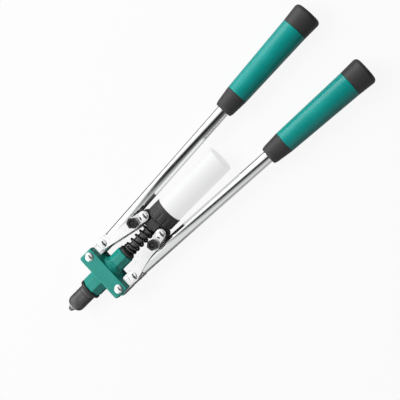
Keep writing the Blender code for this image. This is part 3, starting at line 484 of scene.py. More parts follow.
def result(holder):
    # what the holder's modifiers make of its mesh, as a plain mesh
    made = bpy.data.meshes.new_from_object(holder.evaluated_get(bpy.context.evaluated_depsgraph_get()))
    holder.modifiers.clear()
    bpy.data.objects.remove(holder)
    return made


rounded = {"yoke": 0.35, "tongue": 0.5, "flatWithin": 1.5, "edgeFrom": 38, "segments": 2}  # mm and degrees


def refined(node, width):
    # a merged copy of a solid, its edges rounded over
    bm = bmesh.new()
    bm.from_mesh(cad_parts[node].data)
    bmesh.ops.remove_doubles(bm, verts=bm.verts, dist=2e-6)
    flat = math.radians(rounded["flatWithin"])
    bmesh.ops.dissolve_limit(bm, angle_limit=flat, verts=bm.verts, edges=bm.edges)
    holder = held(meshFrom(bm, Matrix.Identity(4)))
    step = holder.modifiers.new("edges", "BEVEL")
    step.width = width * mm
    step.segments = rounded["segments"]
    step.limit_method = "ANGLE"
    step.angle_limit = math.radians(rounded["edgeFrom"])
    return result(holder)


def rebuilt(mesh, grain, rounds=0):
    # a mesh made again in small cells, and smoothed
    holder = held(mesh)
    cells = holder.modifiers.new("cells", "REMESH")
    cells.mode = "VOXEL"
    cells.voxel_size = grain * mm
    if rounds:
        worn = holder.modifiers.new("worn", "SMOOTH")
        worn.factor = 0.5
        worn.iterations = rounds
    return result(holder)


def cast(node, grain, rounds, drawn):
    # a solid as a foundry leaves it: its sides drafted, its edges and corners worn round
    bm = bmesh.new()
    bm.from_mesh(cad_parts[node].data)
    mesh = rebuilt(meshFrom(bm, Matrix.Identity(4)), grain)
    for vert in mesh.vertices:
        vert.co.x = drawn(*vert.co)
    return rebuilt(mesh, grain, rounds)


# Geometry Nodes: a tree is written with the same kind of short calls
class Tree:
    def __init__(self, name, inputs):
        self.group = bpy.data.node_groups.new(name, "GeometryNodeTree")
        face = self.group.interface
        self.sockets = {}
        for label, kind, value in inputs:
            item = face.new_socket(name=label, in_out="INPUT", socket_type=kind)
            if value is not None:
                item.default_value = value
            self.sockets[label] = item.identifier
        face.new_socket(name="Geometry", in_out="OUTPUT", socket_type="NodeSocketGeometry")
        self.start = self.group.nodes.new("NodeGroupInput")
        self.end = self.group.nodes.new("NodeGroupOutput")

    def given(self, label):
        return self.start.outputs[label]

    def add(self, kind, settings=None, sockets=None, out=0):
        node = self.group.nodes.new(kind)
        for key, value in (settings or {}).items():
            setattr(node, key, value)
        for key, value in (sockets or {}).items():
            if isinstance(value, bpy.types.NodeSocket):
                self.group.links.new(value, node.inputs[key])
            else:
                node.inputs[key].default_value = value
        return node.outputs[out]

    def work(self, operation, *values):
        return self.add("ShaderNodeMath", {"operation": operation}, dict(enumerate(values)))

    def finish(self, geometry, finish):
        real = self.add("GeometryNodeRealizeInstances", {}, {0: geometry})
        coated = self.add("GeometryNodeSetMaterial", {}, {"Geometry": real, "Material": looks[finish]})
        self.group.links.new(coated, self.end.inputs[0])

    def grow(self, start, values):
        holder = held(start)
        step = holder.modifiers.new("grow", "NODES")
        step.node_group = self.group
        for label, value in values.items():
            step[self.sockets[label]] = value
        return result(holder)


def springTree():
    # a wire along a helix whose end turns are closed up
    tree = Tree("coil_spring", [
        ("Geometry", "NodeSocketGeometry", None), ("Start", "NodeSocketFloat", 0.0),
        ("Length", "NodeSocketFloat", 0.03), ("Coil Radius", "NodeSocketFloat", 0.007),
        ("Wire Radius", "NodeSocketFloat", 0.001), ("Turns", "NodeSocketFloat", 6.0),
        ("Closed Rise", "NodeSocketFloat", 0.003), ("Height", "NodeSocketFloat", 0.0)])
    turns = tree.given("Turns")
    line = tree.add("GeometryNodeCurvePrimitiveLine", {}, {"End": (1, 0, 0)})
    line = tree.add("GeometryNodeResampleCurve", {}, {"Curve": line, "Count": 420})
    factor = tree.add("GeometryNodeSplineParameter", {}, {}, "Factor")
    turn = tree.work("MULTIPLY", factor, turns)
    firstTurn = tree.work("MINIMUM", turn, 1.0)
    lastTurn = tree.work("MAXIMUM", tree.work("SUBTRACT", turn, tree.work("SUBTRACT", turns, 1.0)), 0.0)
    freeTurn = tree.work("SUBTRACT", tree.work("SUBTRACT", turn, firstTurn), lastTurn)
    rise = tree.given("Closed Rise")
    span = tree.work("SUBTRACT", tree.given("Length"), tree.work("MULTIPLY", rise, 2.0))
    freePitch = tree.work("DIVIDE", span, tree.work("SUBTRACT", turns, 2.0))
    ends = tree.work("MULTIPLY", tree.work("ADD", firstTurn, lastTurn), rise)
    along = tree.work("ADD", ends, tree.work("MULTIPLY", freeTurn, freePitch))
    angle = tree.work("MULTIPLY", turn, 2 * math.pi)
    reach = tree.given("Coil Radius")
    spot = tree.add("ShaderNodeCombineXYZ", {}, {
        "X": tree.work("ADD", along, tree.given("Start")),
        "Y": tree.work("MULTIPLY", reach, tree.work("COSINE", angle)),
        "Z": tree.work("ADD", tree.work("MULTIPLY", reach, tree.work("SINE", angle)), tree.given("Height"))})
    coil = tree.add("GeometryNodeSetPosition", {}, {"Geometry": line, "Position": spot})
    ring = tree.add("GeometryNodeCurvePrimitiveCircle", {}, {
        "Resolution": 16, "Radius": tree.given("Wire Radius")})
    wire = tree.add("GeometryNodeCurveToMesh", {}, {"Curve": coil, "Profile Curve": ring, "Fill Caps": True})
    tree.finish(wire, "springSteel")
    return tree


def domeTree():
    # a domed head on every point, turned to the way that the point holds
    tree = Tree("rivet_heads", [
        ("Geometry", "NodeSocketGeometry", None), ("Head", "NodeSocketObject", None)])
    head = tree.add("GeometryNodeObjectInfo", {}, {"Object": tree.given("Head")}, "Geometry")
    way = tree.add("GeometryNodeInputNamedAttribute", {"data_type": "FLOAT_VECTOR"}, {"Name": "way"})
    turned = tree.add("FunctionNodeAlignRotationToVector", {"axis": "Z"}, {"Vector": way})
    heads = tree.add("GeometryNodeInstanceOnPoints", {}, {
        "Points": tree.given("Geometry"), "Instance": head, "Rotation": turned})
    tree.finish(heads, "dome")
    return tree


coilSpring = springTree()
rivetHeads = domeTree()
print("node trees ready")

# Nose: bored tip with a bright rim, housing with wrench flats, lock ring
nose = {
    "tip": [(0, 1.7), (0, 2.3), (4.6, 4.5), (13.4, 4.5), (13.4, 1.7)], "tipRound": 0.5,
    "rim": [(4.6, 4.0), (4.6, 4.9), (5.7, 4.9), (5.7, 4.0)], "rimRound": 0.3,
    "start": 6.0, "end": 32.1, "radius": 10.2, "endChamfer": 0.6, "hole": 4.8, "bore": 7.6, "boreStart": 14.0,
    "shoulderLength": 6.2, "shoulderRadius": 5.6, "shoulderSteps": 14,
    "flatStart": 17.2, "flatEnd": 26.8, "flatDistance": 9.7, "flatStep": 0.12, "flatsOutside": 8.6,
    "groove": 27.4, "grooveEnd": 28.3, "grooveDepth": 0.45, "grooveSlope": 0.25,
    "ringStart": 32.4, "ringEnd": 36.6, "ringRadius": 13.1, "ringBore": 8.8, "ringSlope": (1.2, 1.6),
    "ringChamfer": 0.8, "ringRound": 0.4,
}


def buildNose():
    n = nose
    tip = lathe(softened(n["tip"], n["tipRound"]), toolPlace, steps["small"])
    keep(tip, "nosepieceTip", "head", "darkSteel", ["nosepiece"])
    rim = lathe(softened(n["rim"], n["rimRound"]), toolPlace, steps["small"])
    keep(rim, "nosepieceRim", "head", "rim", [])

    radius, step, slope = n["radius"], n["flatStep"], n["grooveSlope"]
    outline = []
    for k in range(n["shoulderSteps"] + 1):
        angle = math.radians(90 * k / n["shoulderSteps"])
        outline.append((n["start"] + n["shoulderLength"] * (1 - math.cos(angle)),
                        n["shoulderRadius"] + (radius - n["shoulderRadius"]) * math.sin(angle)))
    for along in (n["flatStart"], n["flatEnd"]):
        outline += [(along - step, radius), (along + step, radius)]
    deep = radius - n["grooveDepth"]
    outline += [
        (n["groove"], radius), (n["groove"] + slope, deep),
        (n["grooveEnd"] - slope, deep), (n["grooveEnd"], radius),
        (n["end"] - n["endChamfer"], radius), (n["end"], radius - n["endChamfer"]), (n["end"], n["bore"]),
        (n["boreStart"], n["bore"]), (n["boreStart"], n["hole"]), (n["start"], n["hole"])]
    cut = flatSides(6, n["flatDistance"], 30)

    def flats(along, r, angle):
        inside = n["flatStart"] < along < n["flatEnd"] and r > n["flatsOutside"]
        return cut(along, r, angle) if inside else r
    keep(lathe(outline, toolPlace, steps["flatted"], flats), "noseHousing", "head", "darkSteel",
         ["nose_housing"], "flatted")

    a, b, r, edge = n["ringStart"], n["ringEnd"], n["ringRadius"], n["ringChamfer"]
    wide, high = n["ringSlope"]
    ring = [(a, n["ringBore"]), (a, r - high), (a + wide, r),
            (b - edge, r), (b, r - edge), (b, n["ringBore"])]
    keep(lathe(softened(ring, n["ringRound"]), toolPlace, steps["lockRing"]), "lockRing", "head",
         "blackSteel", ["lock_ring"])


# Domed heads of pins and rivets
domes = {"radius": 4.9, "headHeight": 2.2, "height": 1.7, "rim": 0.5, "edge": 0.15, "steps": 12, "gap": 0.3}


def domeMesh(height):
    d = domes
    rise = height - d["rim"]
    ball = (d["radius"] ** 2 + rise ** 2) / (2 * rise)
    spread = math.asin(d["radius"] / ball)
    outline = [(0, 0), (0, d["radius"] - d["edge"]), (d["edge"], d["radius"]), (d["rim"], d["radius"])]
    for k in range(1, d["steps"] + 1):
        angle = spread * (1 - k / d["steps"])
        outline.append((height - ball * (1 - math.cos(angle)), ball * math.sin(angle)))
    outline[-1] = (height, 0)
    return lathe(outline, Matrix.Identity(4), steps["dome"], None, True)


def buildDomes(name, body, height, spots, replaced):
    # spots are places on the axis of a pin, and the level of its head's seat
    head = bpy.data.objects.new("head", domeMesh(height))
    scene.collection.objects.link(head)
    points = bpy.data.meshes.new("points")
    level = [(place @ Matrix.Translation((0, 0, way * seatLevel * mm))).translation
             for place, seatLevel in spots for way in (1, -1)]
    points.from_pydata([tuple(p) for p in level], [], [])
    ways = points.attributes.new("way", "FLOAT_VECTOR", "POINT")
    for k in range(len(level)):
        ways.data[k].vector = (0, 0, 1 if k % 2 == 0 else -1)
    mesh = rivetHeads.grow(points, {"Head": head})
    bpy.data.objects.remove(head)
    keep(mesh, name, body, "dome", replaced, "dome")


# Springs: each is wound between its start and its end, as it sits at rest
recoil = {
    "name": "recoilSpring", "node": "recoil_spring", "body": "head",
    "start": 99.7, "end": 136.5, "radius": 8.4, "wire": 2.8, "turns": 6.0, "closed": 1.1,
    "joint": "slide_travel", "travel": 5.6, "fixed": "start",
}
pusher = {
    "name": "pusherSpring", "node": "pusher_spring", "body": "slide",
    "start": 35.2, "end": 46.0, "radius": 4.9, "wire": 0.8, "turns": 7.0, "closed": 1.1,
    "joint": "jaw_travel", "travel": 1.8, "fixed": "end",
}


def buildSpring(s):
    wire = s["wire"] / 2
    point = bpy.data.meshes.new("point")
    point.from_pydata([(0, 0, 0)], [], [])
    mesh = coilSpring.grow(point, {
        "Start": noseTip + (s["start"] + wire) * mm,
        "Length": (s["end"] - s["start"] - 2 * wire) * mm,
        "Coil Radius": (s["radius"] - wire) * mm, "Wire Radius": wire * mm,
        "Turns": s["turns"], "Closed Rise": s["wire"] * s["closed"] * mm,
        "Height": axisHeight})
    made = keep(mesh, s["name"], s["body"], "springSteel", [s["node"]], "soft")
    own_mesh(made)


# Head: the enamelled casting, its pins, and the recoil spring's seat
casting = {
    "grain": 0.42, "rounds": 4,      # size of a cell in mm, and how often it is smoothed
    "half": 15.0,                    # half the crossbar's thickness
    "rearEdge": 71.4, "rearEnd": 77.2, "draft": 0.33,
    "barrelReach": 14.0, "runOut": 1.5,
}
seat = {"start": 95.0, "end": 99.4, "radius": 9.7, "coneStart": 97.4, "coneRadius": 7.6, "bore": 5.55,
        "round": 0.5}


def buildHead():
    c = casting

    def drafted(x, y, z):
        # the crossbar's rear side leans forward above, but not where the barrel grows out of it
        along, y, z = (x - noseTip) / mm, y / mm, (z - axisHeight) / mm
        limit = c["rearEdge"] + (c["half"] - z) * c["draft"]
        limit += c["runOut"] * max(0.0, c["barrelReach"] - math.hypot(y, z))
        return noseTip + min(along, limit) * mm if along < c["rearEnd"] else x
    keep(cast("head_casting", c["grain"], c["rounds"], drafted), "headCasting", "head", "green",
         ["head_casting"], "soft")
    pins = []
    for turn in sides.values():
        pin = Matrix.Translation((armShape["pinX"] * mm, turn * armShape["pinY"] * mm, 0))
        pins.append((toolPlace @ pin, c["half"] + domes["gap"]))
    buildDomes("headPins", "head", domes["headHeight"], pins, ["left_head_pin", "right_head_pin"])
    s = seat
    outline = [(s["start"], s["bore"]), (s["start"], s["radius"]), (s["coneStart"], s["radius"]),
               (s["end"], s["coneRadius"]), (s["end"], s["bore"])]
    keep(lathe(softened(outline, s["round"]), toolPlace, steps["seat"]), "springSeat", "head",
         "blackSteel", ["spring_seat"])
    buildSpring(recoil)
    buildSpring(pusher)


# Slide: pull tube, yoke, pins, ribbed cap
pull = {"start": 46.3, "end": 157.5, "radius": 5.2, "bore": 3.2, "round": 0.3}
cap = {
    "start": 150.6, "end": 165.8, "radius": 17.1, "lip": 0.9, "lipRound": 0.4, "plain": 2.0,
    "fluteEnd": 159.6, "fluteSteps": 8, "fade": 1.5, "fadeSteps": 6, "depth": 0.8, "flutes": 12,
    "sharpness": 1.5, "flutedOutside": 15.15, "frontWall": 3.0, "neck": 11.7, "socket": 14.15,
    "backEdge": 1.4, "backRound": 0.5,
}


def buildSlide():
    p = pull
    outline = [(p["start"], p["bore"]), (p["start"], p["radius"]),
               (p["end"], p["radius"]), (p["end"], p["bore"])]
    keep(lathe(softened(outline, p["round"]), toolPlace, steps["small"]), "pullTube", "slide", "darkSteel",
         ["pull_tube"])
    yoke = refined("yoke", rounded["yoke"])
    keep(yoke, "slideYoke", "slide", "blackSteel", ["yoke"], "worn")
    pins = [(slidePin(side), plateLevels["headSeat"]) for side in sides]
    buildDomes("slidePins", "slide", domes["height"], pins, ["left_slide_pin", "right_slide_pin"])

    c = cap
    radius, wall, plain = c["radius"], c["start"] + c["frontWall"], c["start"] + c["plain"]
    front = [(c["start"], c["neck"]), (c["start"], radius - c["lip"]), (c["start"] + c["lip"], radius),
             (plain, radius)]
    run = (c["fluteEnd"] - plain) / c["fluteSteps"]
    flutes = [(plain + k * run, radius) for k in range(c["fluteSteps"] + 1)]
    fades = [(c["fluteEnd"] + c["fade"] * k / c["fadeSteps"], radius) for k in range(1, c["fadeSteps"] + 1)]
    back = [(c["end"] - c["backEdge"], radius), (c["end"], radius), (c["end"], c["socket"]),
            (wall, c["socket"]), (wall, c["neck"])]

    def fluted(along, r, angle):
        if r < c["flutedOutside"]:
            return r
        wave = max(0.0, math.cos(c["flutes"] * (angle - math.pi / 2))) ** c["sharpness"]
        fade = min(1.0, max(0.0, (c["fluteEnd"] + c["fade"] - along) / c["fade"]))
        return r - c["depth"] * wave * math.sqrt(fade)
    outline = softened(front, c["lipRound"], False) + flutes + fades + softened(back, c["backRound"], False)
    keep(lathe(outline, toolPlace, steps["cap"], fluted), "collectorCap", "slide", "blackPlastic",
         ["collector_cap"], "round")


# Collector bottle: its neck sits in the cap
bottle = {
    "start": 166.1, "end": 249.8, "radius": 16.5, "wall": 1.2, "endRound": 3.2, "shoulder": 1.4,
    "neck": 13.8, "neckLength": 11.0, "neckWall": 1.4, "mouthChamfer": 0.3,
}


def buildBottle():
    b = bottle
    start, wall, edge = b["start"], b["wall"], b["mouthChamfer"]
    inner = b["radius"] - wall
    neckInner = b["neck"] - b["neckWall"]
    mouth = start - b["neckLength"]
    corner = (b["end"] - b["endRound"], b["radius"] - b["endRound"])
    outside = arc(*corner, b["endRound"], 0, 90, 10)
    shoulder = arc(start + b["shoulder"], b["radius"] - b["shoulder"], b["shoulder"], 90, 180, 8)
    inside = arc(*corner, b["endRound"] - wall, 90, 0, 8)
    outline = [(b["end"], 0)] + outside + shoulder + [
        (start, b["neck"]), (mouth + edge, b["neck"]), (mouth, b["neck"] - edge), (mouth, neckInner),
        (start + wall, neckInner), (start + wall, inner - wall),
        (start + 2 * wall, inner)] + inside + [(b["end"] - wall, 0)]
    keep(lathe(outline, toolPlace, steps["large"]), "collectorBottle", "bottle", "bottle",
         ["collector_bottle"], "round")


# Bracket plates: two round ends, joined by a straight inner side and a waisted outer one
bracket = {
    "frontRadius": 6.6, "kneeRadius": 7.2, "frontAngle": 72, "kneeAngle": 105, "edge": 0.5,
    "waist": (48.0, -4.2), "crest": (33.0, 2.8), "steps": 24, "rivetHole": 3.3, "kneeHole": 3.0,
}


def bracketOutline(turn):
    b = bracket
    front = (armShape["rivetAlong"], -armShape["rivetInset"])
    knee = (armShape["kneeAlong"], -armShape["kneeInset"])
    lean = math.atan2(knee[1] - front[1], knee[0] - front[0])
    reach = math.hypot(knee[0] - front[0], knee[1] - front[1])
    opening = math.asin((b["kneeRadius"] - b["frontRadius"]) / reach)
    inner = 270 + math.degrees(lean - opening)
    outline = arc(*front, b["frontRadius"], b["frontAngle"], inner, 40)
    outline += arc(*knee, b["kneeRadius"], inner - 360, b["kneeAngle"], 40)
    first, last = Vector(outline[-1]), Vector(outline[0])
    waist, crest = Vector(b["waist"]), Vector(b["crest"])
    for k in range(1, b["steps"]):
        t = k / b["steps"]
        s = 1 - t
        outline.append(tuple(first * s ** 3 + waist * 3 * t * s ** 2 + crest * 3 * t * t * s + last * t ** 3))
    return [(x, turn * y) for x, y in outline]


def buildPlates(name, node, body, outline, levels, edge, holes, place):
    low, high = levels
    for which, a, b in (("Front", low, high), ("Rear", -high, -low)):
        mesh = plate(outline, a, b, edge, holes, place)
        keep(mesh, name % which, body, "plate", [node % which.lower()], "plate")


# Knee: bolt head behind, washer and nut in front
hexes = {
    "flats": 11.4, "chamfer": 0.55, "chamferSlope": 0.6, "chamferSteps": 4, "turn": 45,
    "headHeight": 3.7, "nutHeight": 4.8, "boreChamfer": 0.5, "play": 0.3, "gap": 0.3,
    "bolt": 2.7, "boltChamfer": 0.6, "sunk": 1.0, "recess": 1.1,
    "washer": 1.0, "washerRadius": 6.4, "washerHole": 3.0, "washerRound": 0.25,
}


def hexBody(low, high, place, turn, bore=0.0):
    # six flats, with the corners turned off by a cone
    h = hexes
    corner = h["flats"] / 2 / math.cos(math.pi / 6)
    cut, count, edge = h["chamfer"], h["chamferSteps"], h["boreChamfer"]
    drop = cut * h["chamferSlope"]
    upper = [(high - drop * (1 - k / count), corner - cut * k / count) for k in range(count + 1)]
    inside = [(high, bore + edge), (high - edge, bore), (low, bore)] if bore else [(high, 0)]
    outline = ([] if bore else [(low, 0)]) + [(low, corner)] + upper + inside
    return lathe(outline, place, steps["flatted"], flatSides(6, h["flats"] / 2, turn), True)


def buildKnee(side, place):
    h = hexes
    body = side + "_arm"
    turn = sides[side] * h["turn"]
    level = plateLevels["headSeat"]
    washerTop = level + h["washer"]
    nutLow = washerTop + h["gap"]
    nutHigh = nutLow + h["nutHeight"]
    flip = Matrix.Rotation(math.pi, 4, "X")
    keep(hexBody(level, level + h["headHeight"], place @ flip, turn), side + "KneeBoltHead", body, "blackNut",
         [side + "_knee_bolt"], "hexagon")
    low, end, radius, edge = -level - h["sunk"], nutHigh - h["recess"], h["bolt"], h["boltChamfer"]
    shank = [(low, 0), (low, radius), (end - edge, radius), (end, radius - edge), (end, 0)]
    keep(lathe(shank, place, steps["shank"], None, True), side + "KneeBoltShank", body, "blackNut",
         [], "round")
    inner, outer = h["washerHole"], h["washerRadius"]
    ring = [(level, inner), (level, outer), (washerTop, outer), (washerTop, inner)]
    washer = lathe(softened(ring, h["washerRound"]), place, steps["small"], None, True)
    keep(washer, side + "KneeWasher", body, "plate", [side + "_knee_washer"], "round")
    keep(hexBody(nutLow, nutHigh, place, turn, radius + h["play"]), side + "KneeNut", body, "blackNut",
         [side + "_knee_nut"], "hexagon")


# Grip: collar, sleeve and end, on the tube's axis
tube = {"start": 31.3, "end": 352.0, "radius": 7.25, "wall": 1.5, "round": 0.4}
grip = {
    "start": 224.3, "sleeveStart": 247.8, "sleeveEnd": 342.3, "end": 365.8, "bore": 7.55,
    "lipRadius": 10.6, "lipLength": 4.0, "lipRound": 1.2, "collarRadius": 11.4,
    "sleeveRadius": 13.2, "sleeveEndRadius": 15.6, "sleeveRound": 0.35, "seam": 0.15,
    "capRadius": 16.7, "endRound": 4.6, "tubeGap": 0.3,
}


def buildGrip(side, place):
    g = grip
    bore, seam, lip = g["bore"], g["seam"], g["lipRound"]
    stop = g["sleeveStart"] - seam
    collar = [(g["start"], bore)] + arc(g["start"] + lip, g["lipRadius"] - lip, lip, 180, 90, 8)
    collar += [(g["start"] + g["lipLength"], g["collarRadius"]), (stop, g["sleeveRadius"]), (stop, bore)]
    start, stop = g["sleeveStart"] + seam, g["sleeveEnd"] - seam
    sleeve = [(start, bore), (start, g["sleeveRadius"]), (stop, g["sleeveEndRadius"]), (stop, bore)]
    start, stop = tube["end"] + g["tubeGap"], g["sleeveEnd"] + seam
    end = [(start, 0), (start, bore), (stop, bore), (stop, g["sleeveEndRadius"])]
    end += arc(g["end"] - g["endRound"], g["capRadius"] - g["endRound"], g["endRound"], 90, 0, 12)
    end += [(g["end"], 0)]
    for name, node, outline, finish, slot in (
            ("GripCollar", "_grip_collar", collar, "blackPlastic", "black_plastic"),
            ("GripSleeve", "_grip_sleeve", softened(sleeve, g["sleeveRound"]), "teal", "teal_rubber"),
            ("GripEnd", "_grip_end", end, "blackPlastic", "black_plastic")):
        keep(lathe(outline, place, steps["large"]), side + name, side + "_arm", finish, [side + node],
             "round")


# Arms: tube, eye, bracket plates with their rivet, knee and grip
def buildArm(side):
    turn = sides[side]
    body = side + "_arm"
    place = armPlace(side)
    tubePlace = place @ armPoint(side, 0, armShape["tubeInset"])
    t = tube
    inner = t["radius"] - t["wall"]
    pipe = [(t["start"], inner), (t["start"], t["radius"]), (t["end"], t["radius"]), (t["end"], inner)]
    keep(lathe(softened(pipe, t["round"]), tubePlace, steps["large"]), side + "ArmTube", body,
         "tube" + side.capitalize(), [side + "_arm_tube"])
    tongue = side + "_arm_tongue"
    keep(refined(tongue, rounded["tongue"]), side + "ArmEye", body, "plate", [tongue], "worn")
    holes = [(armShape["rivetAlong"], -turn * armShape["rivetInset"], bracket["rivetHole"]),
             (armShape["kneeAlong"], -turn * armShape["kneeInset"], bracket["kneeHole"])]
    levels = (plateLevels["bracketLow"], plateLevels["bracketHigh"])
    buildPlates(side + "%sBracket", side + "_%s_bracket", body, bracketOutline(turn), levels,
                bracket["edge"], holes, place)
    rivet = place @ armPoint(side, armShape["rivetAlong"], armShape["rivetInset"])
    buildDomes(side + "BracketRivet", body, domes["height"], [(rivet, levels[1] + domes["gap"])],
               [side + "_bracket_rivet"])
    buildKnee(side, place @ armPoint(side, armShape["kneeAlong"], armShape["kneeInset"]))
    buildGrip(side, tubePlace)


# Links: two plates from each slide pin to the knee
link = {"radius": 6.2, "edge": 0.5, "pinHole": 2.85, "kneeHole": 4.0}


def buildLinks(side):
    pin = slidePin(side)
    knee = (armPlace(side) @ armPoint(side, armShape["kneeAlong"], armShape["kneeInset"])).translation
    line = knee - pin.translation
    reach = line.length / mm
    place = pin @ Matrix.Rotation(math.atan2(line.y, line.x), 4, "Z")
    outline = arc(0, 0, link["radius"], 90, 270, 40) + arc(reach, 0, link["radius"], -90, 90, 40)
    levels = (plateLevels["linkLow"], plateLevels["linkHigh"])
    buildPlates(side + "%sLink", side + "_%s_link", side + "_link", outline, levels, link["edge"],
                [(0, 0, link["pinHole"]), (reach, 0, link["kneeHole"])], place)


buildNose()
print("nose built")
buildHead()
print("head built")
buildSlide()
buildBottle()
print("slide and bottle built")
for side in sides:
    buildArm(side)
    buildLinks(side)
    print(side, "arm and links built")
for node in ("jaw_case", "upper_jaw", "lower_jaw", "jaw_pusher"):
    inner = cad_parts[node]
    inner.data.materials.clear()
    inner.data.materials.append(looks["toolSteel"])

# Camera: above the tool, turned so that the handles point to the upper right
view = {
    "target": (-0.00014, 0.0, 0.0175), "distance": 0.953, "swing": 0.15131, "tilt": 0.15049,
    "roll": 0.78762, "focal": 850.0, "frame": 400.0, "centreX": -0.43, "centreY": -20.5,
    "sensor": 36.0, "near": 0.05, "far": 20.0,
}


def buildCamera():
    swing, tilt = view["swing"], view["tilt"]
    back = Vector((math.sin(swing), -math.sin(tilt) * math.cos(swing), math.cos(tilt) * math.cos(swing)))
    across = (Vector((1, 0, 0)) - back * back.x).normalized()
    upward = back.cross(across)
    c, s = math.cos(view["roll"]), math.sin(view["roll"])
    right = c * across - s * upward
    up = s * across + c * upward
    data = bpy.data.cameras.new("camera")
    camera = bpy.data.objects.new("camera", data)
    scene.collection.objects.link(camera)
    turn = Matrix((right, up, back)).transposed().to_4x4()
    camera.matrix_world = Matrix.Translation(Vector(view["target"]) + back * view["distance"]) @ turn
    data.sensor_width = view["sensor"]
    data.lens = view["focal"] / view["frame"] * view["sensor"]
    data.shift_x = -view["centreX"] / view["frame"]
    data.shift_y = view["centreY"] / view["frame"]
    data.clip_start, data.clip_end = view["near"], view["far"]
    scene.camera = camera


# Floor, lamps and the room that bright metal shows
light = {
    "keyPower": 14.9, "keySize": 0.9, "keyPlace": (-0.50, 0.80, 0.95),
    "topPower": 2.7, "topSize": 0.7, "topPlace": (-0.49, 0.11, 1.09),
    "sidePower": 0.07, "sideSize": 0.25, "sidePlace": (0.24, 0.36, 0.13), "sideAim": (0.15, 0.0, 0.02),
    "sideSpread": 70, "fill": 0.07, "white": 0.985,
}
ground = {
    "size": 6.0, "tone": 0.31, "glow": 1.215, "glowShare": 0.75,
    "mirrorShare": 0.22, "mirrorRise": (-0.10, -0.03),  # paler in the tubes' sides, from there to there in m
}

# What a bright surface shows: strengths at degrees about the tool's length, 0 being straight up.
# Which row counts goes by how far the mirrored ray runs along the tool, from -1 to 1.
room = {
    "frontRow": [
        (-150, 0.62), (-105, 0.72), (-88, 0.85), (-72, 0.78), (-60, 0.72), (-44, 0.78), (-20, 0.80),
        (1, 0.80), (5, 0.9), (9, 1.25), (46, 1.15), (60, 2.2), (100, 2.2), (120, 0.65)],
    "streakRow": [
        (-150, 0.62), (-105, 0.72), (-88, 0.80), (-66, 0.60), (-46, 0.42), (-32, 0.28), (-22, 0.06),
        (-4, 0.015), (10, 0.03), (20, 0.7), (30, 1.1), (46, 1.15), (64, 2.0), (95, 2.0), (115, 0.65)],
    "boxRow": [
        (-150, 0.65), (-108, 0.68), (-86, 0.24), (-50, 0.06), (-20, 0.02), (32, 0.02), (42, 0.6),
        (52, 3.3), (100, 3.5), (120, 0.8)],
    "paleRow": [
        (-110, 0.7), (-95, 0.35), (-82, 0.30), (-60, 0.65), (-30, 0.95), (0, 1.05), (60, 1.1),
        (88, 0.8), (98, 0.45), (115, 0.65)],
    "frontToStreak": (-0.24, -0.19), "streakToBox": (-0.07, -0.02),
    "rowsStart": (-0.46, -0.38), "rowsEnd": (0.12, 0.3),
    "driftStart": 37.0, "drift": 300.0,
    "shadeStart": (0.15, 0.4), "shadeEverywhere": (0.4, 0.75), "litSide": (-0.4, -0.05), "litShare": 0.9,
    "shadeShare": 0.85, "shadeTone": 0.03, "noseLight": (-0.97, -0.8), "noseTone": 2.6,
}


def buildLamp(name, power, size, place, aim=(0, 0, 0), spread=180):
    data = bpy.data.lights.new(name, "AREA")
    data.energy = power
    data.shape = "SQUARE"
    data.size = size
    data.spread = math.radians(spread)
    lamp = bpy.data.objects.new(name, data)
    scene.collection.objects.link(lamp)
    lamp.location = place
    lamp.rotation_mode = "QUATERNION"
    lamp.rotation_quaternion = (Vector(place) - Vector(aim)).to_track_quat("Z", "Y")
    lamp.visible_glossy = False
    lamp.visible_camera = False


def buildLamps():
    buildLamp("key", light["keyPower"], light["keySize"], light["keyPlace"])
    buildLamp("top", light["topPower"], light["topSize"], light["topPlace"])
    buildLamp("side", light["sidePower"], light["sideSize"], light["sidePlace"], light["sideAim"],
              light["sideSpread"])


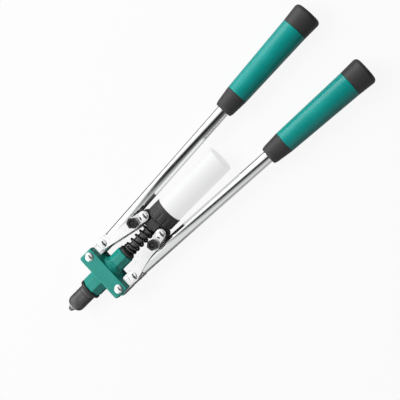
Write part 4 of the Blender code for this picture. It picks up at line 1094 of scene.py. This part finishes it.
def buildRoom():
    r = room
    scene.world = bpy.data.worlds.new("room")
    look = Look(scene.world)
    away = look.add("ShaderNodeTexCoord", out="Generated")
    x, y, z = (look.add("ShaderNodeSeparateXYZ", {}, {0: away}, axis) for axis in ("X", "Y", "Z"))
    about = y.work("ARCTAN2", y, z) / math.pi * 0.5 + 0.5

    def row(name, share):
        stops = [(0.5 + degrees / 360, grey(strength)) for degrees, strength in r[name]]
        return look.add("ShaderNodeValToRGB", {"stops": stops}, {"Fac": share})

    # the dark streak that the long tubes show drifts over them towards the grips
    drift = about + r["driftStart"] / 360 + r["drift"] / 360 * x
    rows = look.blend(x.over(*r["frontToStreak"]), row("frontRow", about), row("streakRow", drift))
    rows = look.blend(x.over(*r["streakToBox"]), rows, row("boxRow", about))
    inRows = x.over(*r["rowsStart"]) * (1 - x.over(*r["rowsEnd"]))
    shine = look.blend(inRows, row("paleRow", about), rows)
    lit = r["litShare"] * y.over(*r["litSide"]) * (1 - x.over(*r["shadeEverywhere"]))
    shade = x.over(*r["shadeStart"]) * (1 - lit)
    shine = look.blend(shade * r["shadeShare"], shine, grey(r["shadeTone"]))
    shine = look.blend(1 - x.over(*r["noseLight"]), shine, grey(r["noseTone"]))
    plain = look.blend(look.ray("Camera"), grey(light["fill"]), grey(light["white"]))
    plain = look.blend(look.ray("Transmission"), plain, grey(light["white"]))
    seen = look.blend(look.ray("Glossy"), plain, shine)
    look.add("ShaderNodeOutputWorld", {}, {"Surface": look.add("ShaderNodeBackground", {}, {"Color": seen})})


def buildFloor():
    g = ground
    bm = bmesh.new()
    bmesh.ops.create_grid(bm, x_segments=1, y_segments=1, size=g["size"])
    floor = bpy.data.objects.new("floor", meshFrom(bm, Matrix.Identity(4)))
    scene.collection.objects.link(floor)
    look = newLook("pale_floor")
    x = look.add("ShaderNodeSeparateXYZ", {}, {0: look.place()})
    mirrored = look.ray("Glossy") * x.over(*g["mirrorRise"]) * g["mirrorShare"]
    matt = look.add("ShaderNodeBsdfDiffuse", {}, {"Color": grey(g["tone"])})
    glow = look.add("ShaderNodeEmission", {}, {"Color": grey(g["glow"])})
    share = look.ray("Camera") * g["glowShare"] + mirrored
    mixed = look.add("ShaderNodeMixShader", {}, {0: share, 1: matt, 2: glow})
    look.add("ShaderNodeOutputMaterial", {}, {"Surface": mixed})
    floor.data.materials.append(look.owner)


buildCamera()
buildLamps()
buildRoom()
buildFloor()
print("camera, light and floor ready")
scene.view_settings.view_transform = "Standard"
